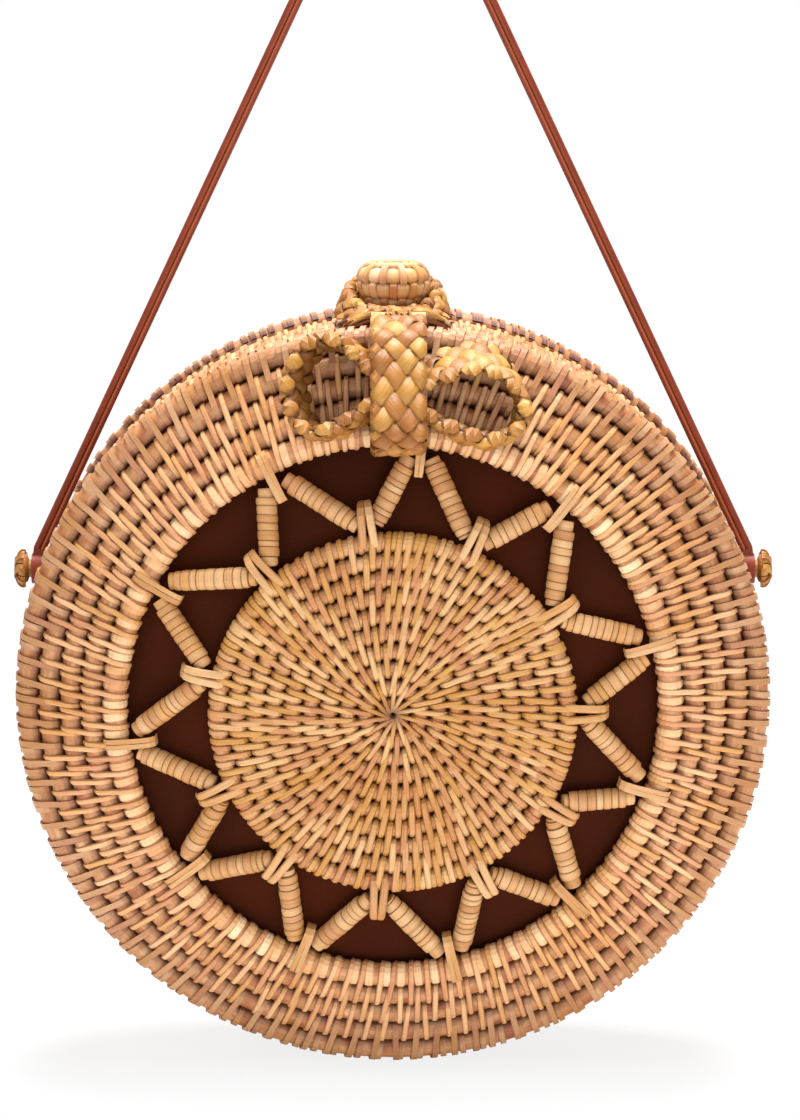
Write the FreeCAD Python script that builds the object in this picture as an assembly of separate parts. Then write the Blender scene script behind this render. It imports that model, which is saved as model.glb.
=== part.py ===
import FreeCAD, Part
import math
import os

os.makedirs("parts", exist_ok=True)
V = FreeCAD.Vector

# Round clamshell shoulder bag of coiled cane, 200 mm across, hung by its strap.
# It is drawn about the middle of the seam between its halves: X to its right, Y to
# its back, Z up. The front half lies at negative Y. On saving, every piece is moved
# down so that the origin is the spot under the strap where a hook carries the bag.

# Side walls: three coils in each half
WALL_COIL_R = 95.0
WALL_PITCH = 5.75
WALL_COIL_HALF = 2.9
WALL_VALLEY = 1.5
WALL_COILS = 3
SEAM_GAP = 0.3

# Face rings: five coils on a shallow cone that starts beside the last wall coil
RING_STEP_OUT = 1.5
RING_STEP_Y = 6.275
RING_PITCH = 6.35
RING_COIL_HALF = 3.1
RING_VALLEY = 1.6
RING_CAP = 0.6
RING_COILS = 5
RING_SLOPE = 23.0

# Centre rosettes: ten coils pressed flat, inside the open star and a little in front of the ring
STAR_WIDE = 25.12
ROSETTE_AHEAD = 6.03
ROSETTE_THICK = 4.5
ROSETTE_COILS = 10
ROSETTE_EDGE = 0.7
GROOVE_DEEP = 0.7
GROOVE_HALF = 0.5

# Star of wrapped bars between ring and rosette, its turns read off the photograph
BAR_R = 2.8
BAR_END_ROUND = 1.2
BAR_RING_GAP = 5.52
BAR_RING_AHEAD = 2.18
BAR_OUTER_APART = 2.75
BAR_DISC_GAP = 2.5
BAR_DISC_BEHIND = 0.15
BAR_INNER_APART = 2.15
FULL_TURN = 360.0
OUTER_TURN_SHARES = (
    0.3244, 0.2333, 0.1408, 0.0400, -0.0500, -0.1317,
    -0.2139, -0.3061, -0.3928, -0.4803, -0.5786,
)
INNER_TURN_SHARES = (
    0.3656, 0.2711, 0.1811, 0.0892, 0.0017, -0.0861,
    -0.1722, -0.2619, -0.3508, -0.4314, -0.5328,
)

# Lashings over the points of the star
LASH_WIDE = 2.8
LASH_THICK = 0.7
LASH_GAP = 0.15
LASH_OUTER_REACH = 4.6
LASH_INNER_REACH = 4.8
LASH_TAIL = 3.0

# Cloth linings
LINING_THICK = 0.8
LINING_GAP = 0.3
LINING_WALL_GAP = 0.5
LINING_EDGE_Y = 1.0
LINING_BREAK_IN = 0.92
LINING_ROSETTE_GAP = 0.6
LINING_SEW_GAP = 0.1

# Hinge under the bag: a cane held by two front loops and turning in two back loops
HINGE_DROP = 3.1
CANE_R = 2.0
CANE_HALF = 16.5
LOOP_GRIP = 0.02
LOOP_RUN = 0.05
LOOP_THICK = 1.2
LOOP_WIDE = 6.0
BACK_LOOP_X = 4.5
FRONT_LOOP_X = 12.0
TAIL_TIP_HALF = 0.4
TAIL_TIP_IN = 0.75
TAIL_ROOT_Y = 2.4
TAIL_ROOT_IN = 2.0
TAIL_HEEL_Y = 3.0
TAIL_HEEL_OUT = 0.3
TAIL_TOE_OUT = 1.1

# Knob on the back half, its stem between the first two coils
STEM_R = 3.2
STEM_FIT = 0.05
STEM_IN_KNOB = 9.2
STEM_STOP_R = 5.0
STEM_STOP_THICK = 1.7
STEM_STOP_GAP = 0.4
STOP_HOLE_GAP = 0.7
KNOB_FOOT_GAP = 0.5
KNOB_TALL = 15.2
KNOB_R = 9.7
KNOB_BORE_END = 0.3
KNOB_SHARES = ((0.5, 0.0), (0.6, 0.16), (0.82, 0.34), (0.97, 0.5), (1.0, 0.64), (0.97, 0.8), (0.84, 0.93))

# Studs that carry the strap
STUD_Z = 30.0
STUD_R = 2.5
STUD_FIT = 0.05
STUD_HEAD_R = 4.9
STUD_HEAD_GAP = 0.3
STUD_HEAD_LONG = 4.2
STUD_HEAD_ROUND_SHARE = 0.45
STUD_STOP_R = 4.4
STUD_STOP_THICK = 1.6
STUD_STOP_GAP = 0.43
STUD_HOLE_GAP = 0.7

# Strap: a rolled leather lace, drawn taut over a hook
LACE_WIDE = 3.4
LACE_DEEP = 2.6
LACE_ROUND = 0.8
HOOK_R = 6.0
LACE_LEAN = 25.5
LACE_FOOT_IN = 0.5
LACE_FOOT_UP = 5.6
EYE_WALL_GAP = 0.4
EYE_WALL = 1.6
EYE_RUN = 0.05
EYE_NECK_UP = 1.4

# Bow on the front half: ribbon loops, the band that ties them, and a pin
BOW_X = 1.5
BOW_SPAN = 35.0
RIBBON_THICK = 2.6
RIBBON_DEEP = 12.0
RIBBON_ROOT = 5.0
RIBBON_GAP = 0.25
RIBBON_OVERRUN = 1.0
RIBBON_POINTS = 36
LEFT_DROOP = -14.0
LEFT_LEAN_SHARE = -0.22
LEFT_ROOT_SHARES = (0.9, 0.95)
LEFT_SHARES = (
    (0.0, -0.06), (-0.05, 0.04), (-0.15, 0.13), (-0.28, 0.26), (-0.43, 0.31), (-0.59, 0.24), (-0.7, 0.0),
    (-0.68, -0.22), (-0.56, -0.39), (-0.38, -0.37), (-0.19, -0.26), (-0.05, -0.15),
)
RIGHT_DROOP = 4.0
RIGHT_LEAN_SHARE = 0.12
RIGHT_ROOT_SHARES = (1.0, 1.4)
RIGHT_SHARES = (
    (0.0, -0.06), (0.05, 0.02), (0.17, 0.08), (0.34, 0.155), (0.56, 0.178), (0.74, 0.07), (0.84, -0.1),
    (0.81, -0.24), (0.67, -0.335), (0.48, -0.325), (0.3, -0.26), (0.15, -0.18), (0.05, -0.13),
)
LOOP_TIP_APART = 1.6
BAND_DROOP = 5.0
BAND_WIDE = 14.4
BAND_THICK = 2.4
BAND_LOOP_GAP = 2.2
BAND_SHARES = (
    (0.494, 0.075), (0.52, 0.4), (0.46, 0.8), (0.3, 0.96), (0.05, 1.0),
    (-0.2, 1.0), (-0.37, 0.82), (-0.455, 0.45), (-0.47, 0.09),
)
BAND_POINTS = 40
PIN_RING_AHEAD = 1.7
PIN_WALL_UP = 4.4
PIN_R = 1.4
PIN_INSET = 0.1
PIN_GRIP = 0.02
PIN_RUN = 0.05
PIN_EYE_R = 2.6

# Closure loop from the bow over the knob: a collar with a flat neck
COLLAR_UP = 2.4
COLLAR_TALL = 9.0
COLLAR_TOP_WALL = 2.6
COLLAR_FOOT_WALL = 5.0
COLLAR_AHEAD = 0.5
COLLAR_ROOM_X = 0.8
COLLAR_ROOM_Y = 1.8
COLLAR_SIDE_TALL = 6.0
COLLAR_TILT = 16.0
NECK_UP = 0.3
NECK_THICK = 2.8
NECK_HALF = 3.8
NECK_LONG = 4.6
NECK_CAPE_HALF = 8.4
NECK_CAPE_BACK = 6.2
NECK_SHOULDER_HALF = 14.6
NECK_SHOULDER_BACK = 24.5
NECK_SLOT_GAP = 0.4
NECK_SLOT_AHEAD = 6.5

# Sizes that follow from those above
SLOPE = math.radians(RING_SLOPE)
DOWN_SLOPE = V(-math.cos(SLOPE), -math.sin(SLOPE), 0)
OFF_SLOPE = V(math.sin(SLOPE), -math.cos(SLOPE), 0)
WALL_FIRST_Y = (SEAM_GAP + WALL_PITCH) / 2
WALL_CREST = WALL_COIL_R + WALL_COIL_HALF
WALL_BACK = WALL_COIL_R - WALL_COIL_HALF
PEG_Y = WALL_FIRST_Y + WALL_PITCH / 2
RING_COIL_R = WALL_COIL_R + RING_STEP_OUT
RING_COIL_Y = WALL_FIRST_Y + WALL_PITCH * (WALL_COILS - 1) + RING_STEP_Y
RING_FIRST = V(RING_COIL_R, -RING_COIL_Y, 0)
RING_LAST = RING_FIRST + DOWN_SLOPE * (RING_PITCH * (RING_COILS - 1))
ROSETTE_R = RING_LAST.x - STAR_WIDE
ROSETTE_MID_Y = ROSETTE_AHEAD - RING_LAST.y
ROSETTE_OUT = ROSETTE_MID_Y + ROSETTE_THICK / 2
ROSETTE_IN = ROSETTE_MID_Y - ROSETTE_THICK / 2
BAR_OUTER_R = RING_LAST.x - BAR_RING_GAP
BAR_OUTER_Y = BAR_RING_AHEAD - RING_LAST.y
BAR_INNER_R = ROSETTE_R + BAR_DISC_GAP
BAR_INNER_Y = ROSETTE_MID_Y - BAR_DISC_BEHIND
LINING_R = WALL_BACK - LINING_WALL_GAP
LINING_BREAK_R = RING_LAST.x - LINING_BREAK_IN
HINGE_R = WALL_CREST + HINGE_DROP
TAIL_TIP_R = WALL_CREST - TAIL_TIP_IN
STEM_STOP_HIGH = WALL_BACK - STEM_STOP_GAP
STEM_STOP_LOW = STEM_STOP_HIGH - STEM_STOP_THICK
STOP_HOLE_R = STEM_STOP_R + STOP_HOLE_GAP
KNOB_FOOT = WALL_CREST + KNOB_FOOT_GAP
KNOB_TOP = KNOB_FOOT + KNOB_TALL
STEM_TOP = KNOB_FOOT + STEM_IN_KNOB
STUD_STOP_OUT = math.sqrt(WALL_BACK ** 2 - (STUD_Z + STUD_STOP_R) ** 2) - STUD_STOP_GAP
STUD_STOP_IN = STUD_STOP_OUT - STUD_STOP_THICK
STUD_HOLE_R = STUD_STOP_R + STUD_HOLE_GAP
EYE_X = math.sqrt(WALL_CREST ** 2 - (STUD_Z - STUD_R) ** 2) + EYE_WALL_GAP + LACE_WIDE / 2
EYE_R = STUD_R + EYE_WALL
EYE_NECK_LOW = STUD_Z + EYE_NECK_UP
STUD_HEAD_IN = EYE_X + LACE_WIDE / 2 + STUD_HEAD_GAP
STUD_HEAD_OUT = STUD_HEAD_IN + STUD_HEAD_LONG
LEAN = math.radians(LACE_LEAN)
LACE_ARC = HOOK_R + LACE_WIDE / 2
LACE_UP = V(-math.sin(LEAN), 0, math.cos(LEAN))
LACE_SIDE = V(math.cos(LEAN), 0, math.sin(LEAN))
LACE_FOOT = V(EYE_X - LACE_FOOT_IN, PEG_Y, STUD_Z + LACE_FOOT_UP)
LACE_RUN = (LACE_FOOT.x - LACE_ARC * math.cos(LEAN)) / math.sin(LEAN)
HOOK_Z = LACE_FOOT.z + LACE_RUN * math.cos(LEAN) - LACE_ARC * math.sin(LEAN)
HANG_Z = HOOK_Z + HOOK_R
BAND_RISE = RIBBON_DEEP + BAND_LOOP_GAP + BAND_THICK / 2
PIN_Y = RING_COIL_Y + PIN_RING_AHEAD
PIN_Z = WALL_CREST + PIN_WALL_UP
PIN_HALF = BAND_WIDE / 2 - PIN_INSET
COLLAR_LOW = WALL_CREST + COLLAR_UP
COLLAR_MID_Y = PEG_Y + COLLAR_AHEAD
COLLAR_HOLE_X = KNOB_R + COLLAR_ROOM_X
COLLAR_HOLE_Y = KNOB_R + COLLAR_ROOM_Y


def save(shape, name):
    """Moves a piece under the hang point and writes it."""
    placed = shape.copy()
    placed.translate(V(0, -PEG_Y, -HANG_Z))
    placed.exportStep("parts/" + name + ".step")
    print(name, len(placed.Solids), "solids", round(placed.Volume), "mm3", placed.isValid())


def group(shapes):
    return Part.makeCompound(shapes)


def spin(wire):
    """Turns a closed outline in the XY plane about the bag's own axis."""
    return Part.Face(wire).revolve(V(0, 0, 0), V(0, 1, 0), FULL_TURN)


def to_back(shape):
    return shape.mirror(V(0, 0, 0), V(0, 1, 0))


def to_left(shape):
    return shape.mirror(V(0, 0, 0), V(1, 0, 0))


def polygon(points):
    return Part.makePolygon(list(points) + [points[0]])


def coil_band(first, along, outward, count, pitch, half, valley, start_cap, end_cap):
    """Ring of stitched coils: a rounded crest for every coil on both sides."""

    def at(step, lift):
        return first + along * step + outward * lift

    def cap(a, tip, b, bulge):
        if bulge == 0:
            return Part.makeLine(a, b)
        return Part.Arc(a, tip, b).toShape()

    side = pitch / 2
    far = pitch * (count - 1) + side
    edges = []
    for coil in range(count):
        mid = pitch * coil
        edges.append(Part.Arc(at(mid - side, valley), at(mid, half), at(mid + side, valley)).toShape())
    edges.append(cap(at(far, valley), at(far + end_cap, 0), at(far, -valley), end_cap))
    for coil in reversed(range(count)):
        mid = pitch * coil
        edges.append(Part.Arc(at(mid + side, -valley), at(mid, -half), at(mid - side, -valley)).toShape())
    edges.append(cap(at(-side, -valley), at(-side - start_cap, 0), at(-side, valley), start_cap))
    return spin(Part.Wire(edges))


def side_wall():
    first = V(WALL_COIL_R, -WALL_FIRST_Y, 0)
    return coil_band(
        first, V(0, -1, 0), V(1, 0, 0), WALL_COILS, WALL_PITCH, WALL_COIL_HALF, WALL_VALLEY, 0, 0
    )


def face_ring():
    return coil_band(
        RING_FIRST, DOWN_SLOPE, OFF_SLOPE, RING_COILS, RING_PITCH,
        RING_COIL_HALF, RING_VALLEY, RING_CAP, RING_CAP,
    )


def rosette():
    """Flat coiled disc with a groove between every two coils on both faces."""
    step = ROSETTE_R / ROSETTE_COILS
    outer = [V(0, -ROSETTE_OUT, 0)]
    inner = [V(0, -ROSETTE_IN, 0)]
    for coil in range(1, ROSETTE_COILS):
        r = step * coil
        outer += [
            V(r - GROOVE_HALF, -ROSETTE_OUT, 0),
            V(r, -ROSETTE_OUT + GROOVE_DEEP, 0),
            V(r + GROOVE_HALF, -ROSETTE_OUT, 0),
        ]
        inner += [
            V(r - GROOVE_HALF, -ROSETTE_IN, 0),
            V(r, -ROSETTE_IN - GROOVE_DEEP, 0),
            V(r + GROOVE_HALF, -ROSETTE_IN, 0),
        ]
    outer.append(V(ROSETTE_R - ROSETTE_EDGE, -ROSETTE_OUT, 0))
    inner.append(V(ROSETTE_R - ROSETTE_EDGE, -ROSETTE_IN, 0))
    rim = Part.Arc(outer[-1], V(ROSETTE_R, -ROSETTE_MID_Y, 0), inner[-1]).toShape()
    faces = Part.makePolygon(list(reversed(inner)) + outer)
    return spin(Part.Wire(list(faces.Edges) + [rim]))


def on_face(radius, angle, aside, y):
    """Point at an angle round the bag's axis, set aside along the turn."""
    turn = math.radians(angle)
    out = V(math.cos(turn), 0, math.sin(turn))
    along = V(-math.sin(turn), 0, math.cos(turn))
    return out * radius + along * aside + V(0, -y, 0)


def turned(shares):
    """Angles of the star's points."""
    return [FULL_TURN * share for share in shares]


def bar_ends():
    """Both ends of every bar, from a point at the ring to a point at the rosette."""
    ends = []
    inner = turned(INNER_TURN_SHARES)
    inner.append(inner[0] - FULL_TURN)
    for k, angle in enumerate(turned(OUTER_TURN_SHARES)):
        for side, other in ((1, inner[k]), (-1, inner[k + 1])):
            a = on_face(BAR_OUTER_R, angle, BAR_OUTER_APART * side, BAR_OUTER_Y)
            b = on_face(BAR_INNER_R, other, BAR_INNER_APART * -side, BAR_INNER_Y)
            ends.append((a, b))
    return ends


def star_bars():
    bars = []
    for a, b in bar_ends():
        bar = Part.makeCylinder(BAR_R, (b - a).Length, a, b - a)
        rims = [e for e in bar.Edges if e.Closed]
        bars.append(bar.makeFillet(BAR_END_ROUND, rims))
    return bars


def clear_of_bars(strips):
    """Strips cut back from the bars where those come too near."""
    bars = [Part.makeCylinder(BAR_R + LASH_GAP / 2, (b - a).Length, a, b - a) for a, b in bar_ends()]
    return [one.cut(bars) for one in strips]


def strip(under, thick, wide):
    """Flat strip of even thickness along a broken line in the XY plane."""
    over = []
    for i, p in enumerate(under):
        before = (p - under[i - 1]).normalize() if i else (under[1] - p).normalize()
        after = (under[i + 1] - p).normalize() if i + 1 < len(under) else before
        a = V(-before.y, before.x, 0)
        b = V(-after.y, after.x, 0)
        mitre = (a + b).normalize()
        over.append(p + mitre * (thick / mitre.dot(a)))
    face = Part.Face(polygon(list(under) + list(reversed(over))))
    face.translate(V(0, 0, -wide / 2))
    return face.extrude(V(0, 0, wide))


def lashings(under, angles, room):
    made = []
    for angle in angles:
        one = strip(under, LASH_THICK + room, LASH_WIDE + room * 2)
        one.rotate(V(0, 0, 0), V(0, 1, 0), -angle)
        made.append(one)
    return made


def outer_lashings(room):
    """Strips from the ring's last coil over the bar ends and down between them."""
    lift = RING_COIL_HALF + LASH_GAP
    over_bar = -(BAR_OUTER_Y + BAR_R + LASH_GAP)
    turn_r = BAR_OUTER_R - LASH_OUTER_REACH
    under = [
        RING_LAST + OFF_SLOPE * lift,
        V(BAR_OUTER_R, over_bar, 0),
        V(turn_r, over_bar, 0),
        V(turn_r, over_bar + LASH_TAIL, 0),
    ]
    return clear_of_bars(lashings(under, turned(OUTER_TURN_SHARES), room))


def inner_lashings():
    """Strips from the rosette over the bar ends and down between them."""
    over_bar = -(BAR_INNER_Y + BAR_R + LASH_GAP)
    turn_r = BAR_INNER_R + LASH_INNER_REACH
    under = [
        V(turn_r, over_bar + LASH_TAIL, 0),
        V(turn_r, over_bar, 0),
        V(BAR_INNER_R, over_bar, 0),
        V(ROSETTE_R - LASH_INNER_REACH, -(ROSETTE_OUT + LASH_GAP), 0),
    ]
    return clear_of_bars(lashings(under, turned(INNER_TURN_SHARES), 0))


def lining_cone(r):
    """Outer side of the lining where it follows the face ring."""
    start = RING_FIRST - OFF_SLOPE * (RING_COIL_HALF + LINING_GAP)
    return start.y + (r - start.x) * math.tan(SLOPE)


def lining_panel():
    """Cloth dish behind the face, right across the open star."""
    floor = -ROSETTE_IN + LINING_ROSETTE_GAP
    deeper = LINING_THICK / math.cos(SLOPE)
    outline = [
        V(LINING_R, lining_cone(LINING_R), 0),
        V(LINING_BREAK_R, lining_cone(LINING_BREAK_R), 0),
        V(ROSETTE_R, floor, 0),
        V(0, floor, 0),
        V(0, floor + LINING_THICK, 0),
        V(ROSETTE_R, floor + LINING_THICK, 0),
        V(LINING_BREAK_R, lining_cone(LINING_BREAK_R) + deeper, 0),
        V(LINING_R, lining_cone(LINING_R) + deeper, 0),
    ]
    return spin(polygon(outline))


def lining_strip():
    """Cloth band round the inside of the wall, sewn to the panel's rim."""
    low = lining_cone(LINING_R) + LINING_THICK / math.cos(SLOPE) + LINING_SEW_GAP
    inner_r = LINING_R - LINING_THICK
    return spin(polygon([
        V(LINING_R, -LINING_EDGE_Y, 0),
        V(LINING_R, low, 0),
        V(inner_r, low, 0),
        V(inner_r, -LINING_EDGE_Y, 0),
    ]))


def bar_along_x(radius, low, high, y, z):
    return Part.makeCylinder(radius, high - low, V(low, y, z), V(1, 0, 0))


def hinge_cane():
    return bar_along_x(CANE_R, -CANE_HALF, CANE_HALF, 0, -HINGE_R)


def hinge_loop(x, clearance):
    """Band round the cane whose tail is stitched between two coils of the back wall."""
    low = x - LOOP_WIDE / 2
    high = x + LOOP_WIDE / 2
    bore = CANE_R + clearance
    near = max(0, abs(x) - LOOP_WIDE / 2)
    rise = WALL_CREST - math.sqrt(WALL_CREST ** 2 - near ** 2)
    tip = rise - TAIL_TIP_R
    tail = Part.Face(polygon([
        V(low, TAIL_ROOT_Y, TAIL_ROOT_IN - HINGE_R),
        V(low, PEG_Y - TAIL_TIP_HALF, tip),
        V(low, PEG_Y + TAIL_TIP_HALF, tip),
        V(low, PEG_Y + TAIL_TIP_HALF, tip - TAIL_TOE_OUT),
        V(low, TAIL_HEEL_Y, -HINGE_R - TAIL_HEEL_OUT),
    ])).extrude(V(high - low, 0, 0))
    ring = bar_along_x(bore + LOOP_THICK, low, high, 0, -HINGE_R)
    return ring.fuse(tail).cut(bar_along_x(bore, low, high, 0, -HINGE_R)).removeSplitter()


def knob_stem():
    stop = Part.makeCylinder(STEM_STOP_R, STEM_STOP_HIGH - STEM_STOP_LOW, V(0, PEG_Y, STEM_STOP_LOW))
    stem = Part.makeCylinder(STEM_R, STEM_TOP - STEM_STOP_LOW, V(0, PEG_Y, STEM_STOP_LOW))
    return stop.fuse(stem).removeSplitter()


def knob_head():
    """Woven ball that flares from a narrow foot, bored for its stem."""
    tall = KNOB_TOP - KNOB_FOOT
    side = [V(KNOB_R * r, 0, KNOB_FOOT + tall * h) for r, h in KNOB_SHARES]
    top = V(0, 0, KNOB_TOP)
    curve = Part.BSplineCurve()
    curve.interpolate(side)
    drop = KNOB_TOP - side[-1].z
    dome_r = (side[-1].x ** 2 + drop ** 2) / (2 * drop)
    half_turn = math.asin(side[-1].x / dome_r) / 2
    middle = V(dome_r * math.sin(half_turn), 0, KNOB_TOP - dome_r * (1 - math.cos(half_turn)))
    crown = Part.Arc(side[-1], middle, top).toShape()
    foot = V(0, 0, KNOB_FOOT)
    wire = Part.Wire([curve.toShape(), crown, Part.makeLine(top, foot), Part.makeLine(foot, side[0])])
    head = Part.Face(wire).revolve(V(0, 0, 0), V(0, 0, 1), FULL_TURN)
    bore = Part.makeCylinder(STEM_R + STEM_FIT, STEM_TOP + KNOB_BORE_END - KNOB_FOOT, foot)
    head = head.cut(bore)
    head.translate(V(0, PEG_Y, 0))
    return head


def strap_stud():
    """Right-hand stud: stop inside the wall, neck through it and a rounded head."""
    stop = bar_along_x(STUD_STOP_R, STUD_STOP_IN, STUD_STOP_OUT, PEG_Y, STUD_Z)
    neck = bar_along_x(STUD_R, STUD_STOP_IN, STUD_HEAD_OUT, PEG_Y, STUD_Z)
    head = bar_along_x(STUD_HEAD_R, STUD_HEAD_IN, STUD_HEAD_OUT, PEG_Y, STUD_Z)
    rims = [e for e in head.Edges if e.Closed]
    head = head.makeFillet(STUD_HEAD_LONG * STUD_HEAD_ROUND_SHARE, rims)
    return stop.fuse([neck, head]).removeSplitter()


def strap_eye():
    """Right-hand end of the strap: the lace folded round the stud."""
    half = LACE_WIDE / 2
    ring = bar_along_x(EYE_R, EYE_X - half, EYE_X + half, PEG_Y, STUD_Z)
    front = V(0, -LACE_DEEP / 2, 0)
    neck = Part.Face(polygon([
        V(EYE_X - half, PEG_Y, EYE_NECK_LOW) + front,
        V(EYE_X + half, PEG_Y, EYE_NECK_LOW) + front,
        LACE_FOOT + LACE_SIDE * half + front,
        LACE_FOOT - LACE_SIDE * half + front,
    ])).extrude(V(0, LACE_DEEP, 0))
    bore = bar_along_x(STUD_R + EYE_RUN, EYE_X - LACE_WIDE, EYE_X + LACE_WIDE, PEG_Y, STUD_Z)
    return ring.fuse(neck).cut(bore).removeSplitter()


def strap_cord():
    """Taut lace: two straight runs and the arc over the hook."""
    turn = LACE_FOOT + LACE_UP * LACE_RUN
    top = V(0, PEG_Y, HOOK_Z + LACE_ARC)
    arc = Part.Arc(turn, top, V(-turn.x, PEG_Y, turn.z)).toShape()
    far = V(-LACE_FOOT.x, PEG_Y, LACE_FOOT.z)
    path = Part.Wire([Part.makeLine(LACE_FOOT, turn), arc, Part.makeLine(V(-turn.x, PEG_Y, turn.z), far)])
    side = LACE_SIDE * (LACE_WIDE / 2)
    deep = V(0, LACE_DEEP / 2, 0)
    block = polygon([
        LACE_FOOT - side - deep, LACE_FOOT + side - deep, LACE_FOOT + side + deep, LACE_FOOT - side + deep,
    ])
    stub = Part.Face(block).extrude(LACE_UP * LACE_WIDE)
    long_edges = [e for e in stub.Edges if abs(e.Length - LACE_WIDE) < LACE_ROUND / 2
                  and abs((e.Vertexes[1].Point - e.Vertexes[0].Point).normalize().dot(LACE_UP)) > 0.99]
    stub = stub.makeFillet(LACE_ROUND, long_edges)
    end = min(stub.Faces, key=lambda f: f.CenterOfMass.distanceToPoint(LACE_FOOT))
    sweep = Part.BRepOffsetAPI.MakePipeShell(path)
    sweep.setBiNormalMode(V(0, 1, 0))
    sweep.add(end.OuterWire)
    sweep.build()
    sweep.makeSolid()
    lace = sweep.shape()
    print("lace length", round(path.Length, 1), "mm, arc radius", LACE_ARC, "mm")
    print("lace volume over section times length", round(abs(lace.Volume) / (end.Area * path.Length), 4))
    return lace


def on_bow(x, s, h, droop):
    """Point on the bow: across, up the face ring's slope, and out over it, drooping."""
    crest = RING_FIRST + DOWN_SLOPE * (RING_PITCH * (RING_COILS - 1) / 2) + OFF_SLOPE * RING_COIL_HALF
    turn = math.radians(droop)
    y = crest.y - DOWN_SLOPE.y * s - math.cos(turn) * h
    z = crest.x - DOWN_SLOPE.x * s - math.sin(turn) * h
    return V(x, y, z)


class Ribbon:
    """One loop of the bow: its outline in front, and how that changes towards the ring."""

    def __init__(self, side, shares, root_shares, lean_share, droop):
        self.tip_x = BOW_X + LOOP_TIP_APART * side
        self.shares = shares
        self.root_shares = root_shares
        self.lean_share = lean_share
        self.droop = droop

    def outline(self, grow, h):
        """Closed curve at a height over the ring, grown sideways."""
        base = Part.BSplineCurve()
        points = [V(self.tip_x + BOW_SPAN * a, BOW_SPAN * b, 0) for a, b in self.shares]
        base.interpolate(points, PeriodicFlag=True)
        first = base.FirstParameter
        last = base.LastParameter
        tip = points[0]
        turn = sum(p.x * q.y - q.x * p.y for p, q in zip(points, points[1:] + points[:1]))
        outward = 1 if turn > 0 else -1
        wide, tall = [share + (1 - share) * h / RIBBON_DEEP for share in self.root_shares]
        walk = []
        for k in range(RIBBON_POINTS):
            u = first + (last - first) * k / RIBBON_POINTS
            p = base.value(u) - tip
            t = base.tangent(u)[0]
            n = V(t.y, -t.x, 0) * outward
            q = tip + V(p.x * wide, p.y * tall, 0) + n * grow
            walk.append(on_bow(q.x + self.lean_share * h, q.y, h, self.droop))
        curve = Part.BSplineCurve()
        curve.interpolate(walk, PeriodicFlag=True)
        return Part.Wire([curve.toShape()])

    def tube(self, grow, low, high):
        return Part.makeLoft([self.outline(grow, low), self.outline(grow, high)], True, True)


def ring_keep_out():
    """Everything behind the crests of the face ring, with a small gap."""
    lift = RING_COIL_HALF + RIBBON_GAP
    top = RING_FIRST + OFF_SLOPE * lift - DOWN_SLOPE * RING_PITCH
    low = RING_LAST + OFF_SLOPE * lift + DOWN_SLOPE * RING_PITCH
    return spin(polygon([low, top, V(top.x, 0, 0), V(low.x, 0, 0)]))


def lash_room():
    """The outer lashings with a gap round them, which the bow leaves free."""
    return outer_lashings(RIBBON_GAP)


def bow_loop(ribbon):
    """Ribbon loop that opens to the front and draws together at the tie, with room for a lashing."""
    outside = ribbon.tube(RIBBON_THICK / 2, -RIBBON_ROOT, RIBBON_DEEP)
    inside = ribbon.tube(-RIBBON_THICK / 2, -RIBBON_ROOT - RIBBON_OVERRUN, RIBBON_DEEP + RIBBON_OVERRUN)
    return outside.cut(inside).cut([ring_keep_out()] + lash_room())


def bow_band():
    """Band that arches over the ribbons, with two ears round the pin."""
    curve = Part.BSplineCurve()
    low = BOW_X - BAND_WIDE / 2
    curve.interpolate([on_bow(low, BOW_SPAN * a, BAND_RISE * b, BAND_DROOP) for a, b in BAND_SHARES])
    first = curve.FirstParameter
    last = curve.LastParameter
    near = []
    far = []
    for k in range(BAND_POINTS + 1):
        u = first + (last - first) * k / BAND_POINTS
        p = curve.value(u)
        t = curve.tangent(u)[0]
        n = V(0, t.z, -t.y)
        near.append(p + n * (BAND_THICK / 2))
        far.append(p - n * (BAND_THICK / 2))
    a = Part.BSplineCurve()
    a.interpolate(near)
    b = Part.BSplineCurve()
    b.interpolate(far)
    wire = Part.Wire([
        a.toShape(), Part.makeLine(near[-1], far[-1]), b.toShape(), Part.makeLine(far[0], near[0]),
    ])
    band = Part.Face(wire).extrude(V(BAND_WIDE, 0, 0))
    band = band.fuse(bar_along_x(PIN_EYE_R, low, low + BAND_WIDE, -PIN_Y, PIN_Z))
    slot_half = NECK_HALF + NECK_SLOT_GAP
    slot_low = PIN_Z - BAND_WIDE / 2
    slot_y = PIN_Y + NECK_SLOT_AHEAD
    slot = Part.makeBox(slot_half * 2, slot_y, BAND_WIDE, V(BOW_X - slot_half, -slot_y, slot_low))
    band = band.cut(slot).cut(bar_along_x(PIN_R + PIN_GRIP, low, low + BAND_WIDE, -PIN_Y, PIN_Z))
    return band.cut([ring_keep_out()] + lash_room()).removeSplitter()


def bow_pin():
    return bar_along_x(PIN_R, BOW_X - PIN_HALF, BOW_X + PIN_HALF, -PIN_Y, PIN_Z)


def level_ellipse(half_x, half_y, z):
    """Ellipse round the knob at a height."""
    ends = V(0, half_y, 0) if half_y > half_x else V(half_x, 0, 0)
    sides = V(half_x, 0, 0) if half_y > half_x else V(0, half_y, 0)
    mid = V(0, COLLAR_MID_Y, z)
    return Part.Wire([Part.Ellipse(mid + ends, mid + sides, mid).toShape()])


def above_collar():
    """Everything over the collar's rim, which slopes down to the front."""
    reach = COLLAR_HOLE_Y + COLLAR_FOOT_WALL + COLLAR_TALL
    mid = V(0, COLLAR_MID_Y, COLLAR_LOW + COLLAR_SIDE_TALL)
    room = Part.makeBox(reach * 2, reach * 2, reach, mid - V(reach, reach, 0))
    room.rotate(mid, V(1, 0, 0), COLLAR_TILT)
    return room


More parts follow.
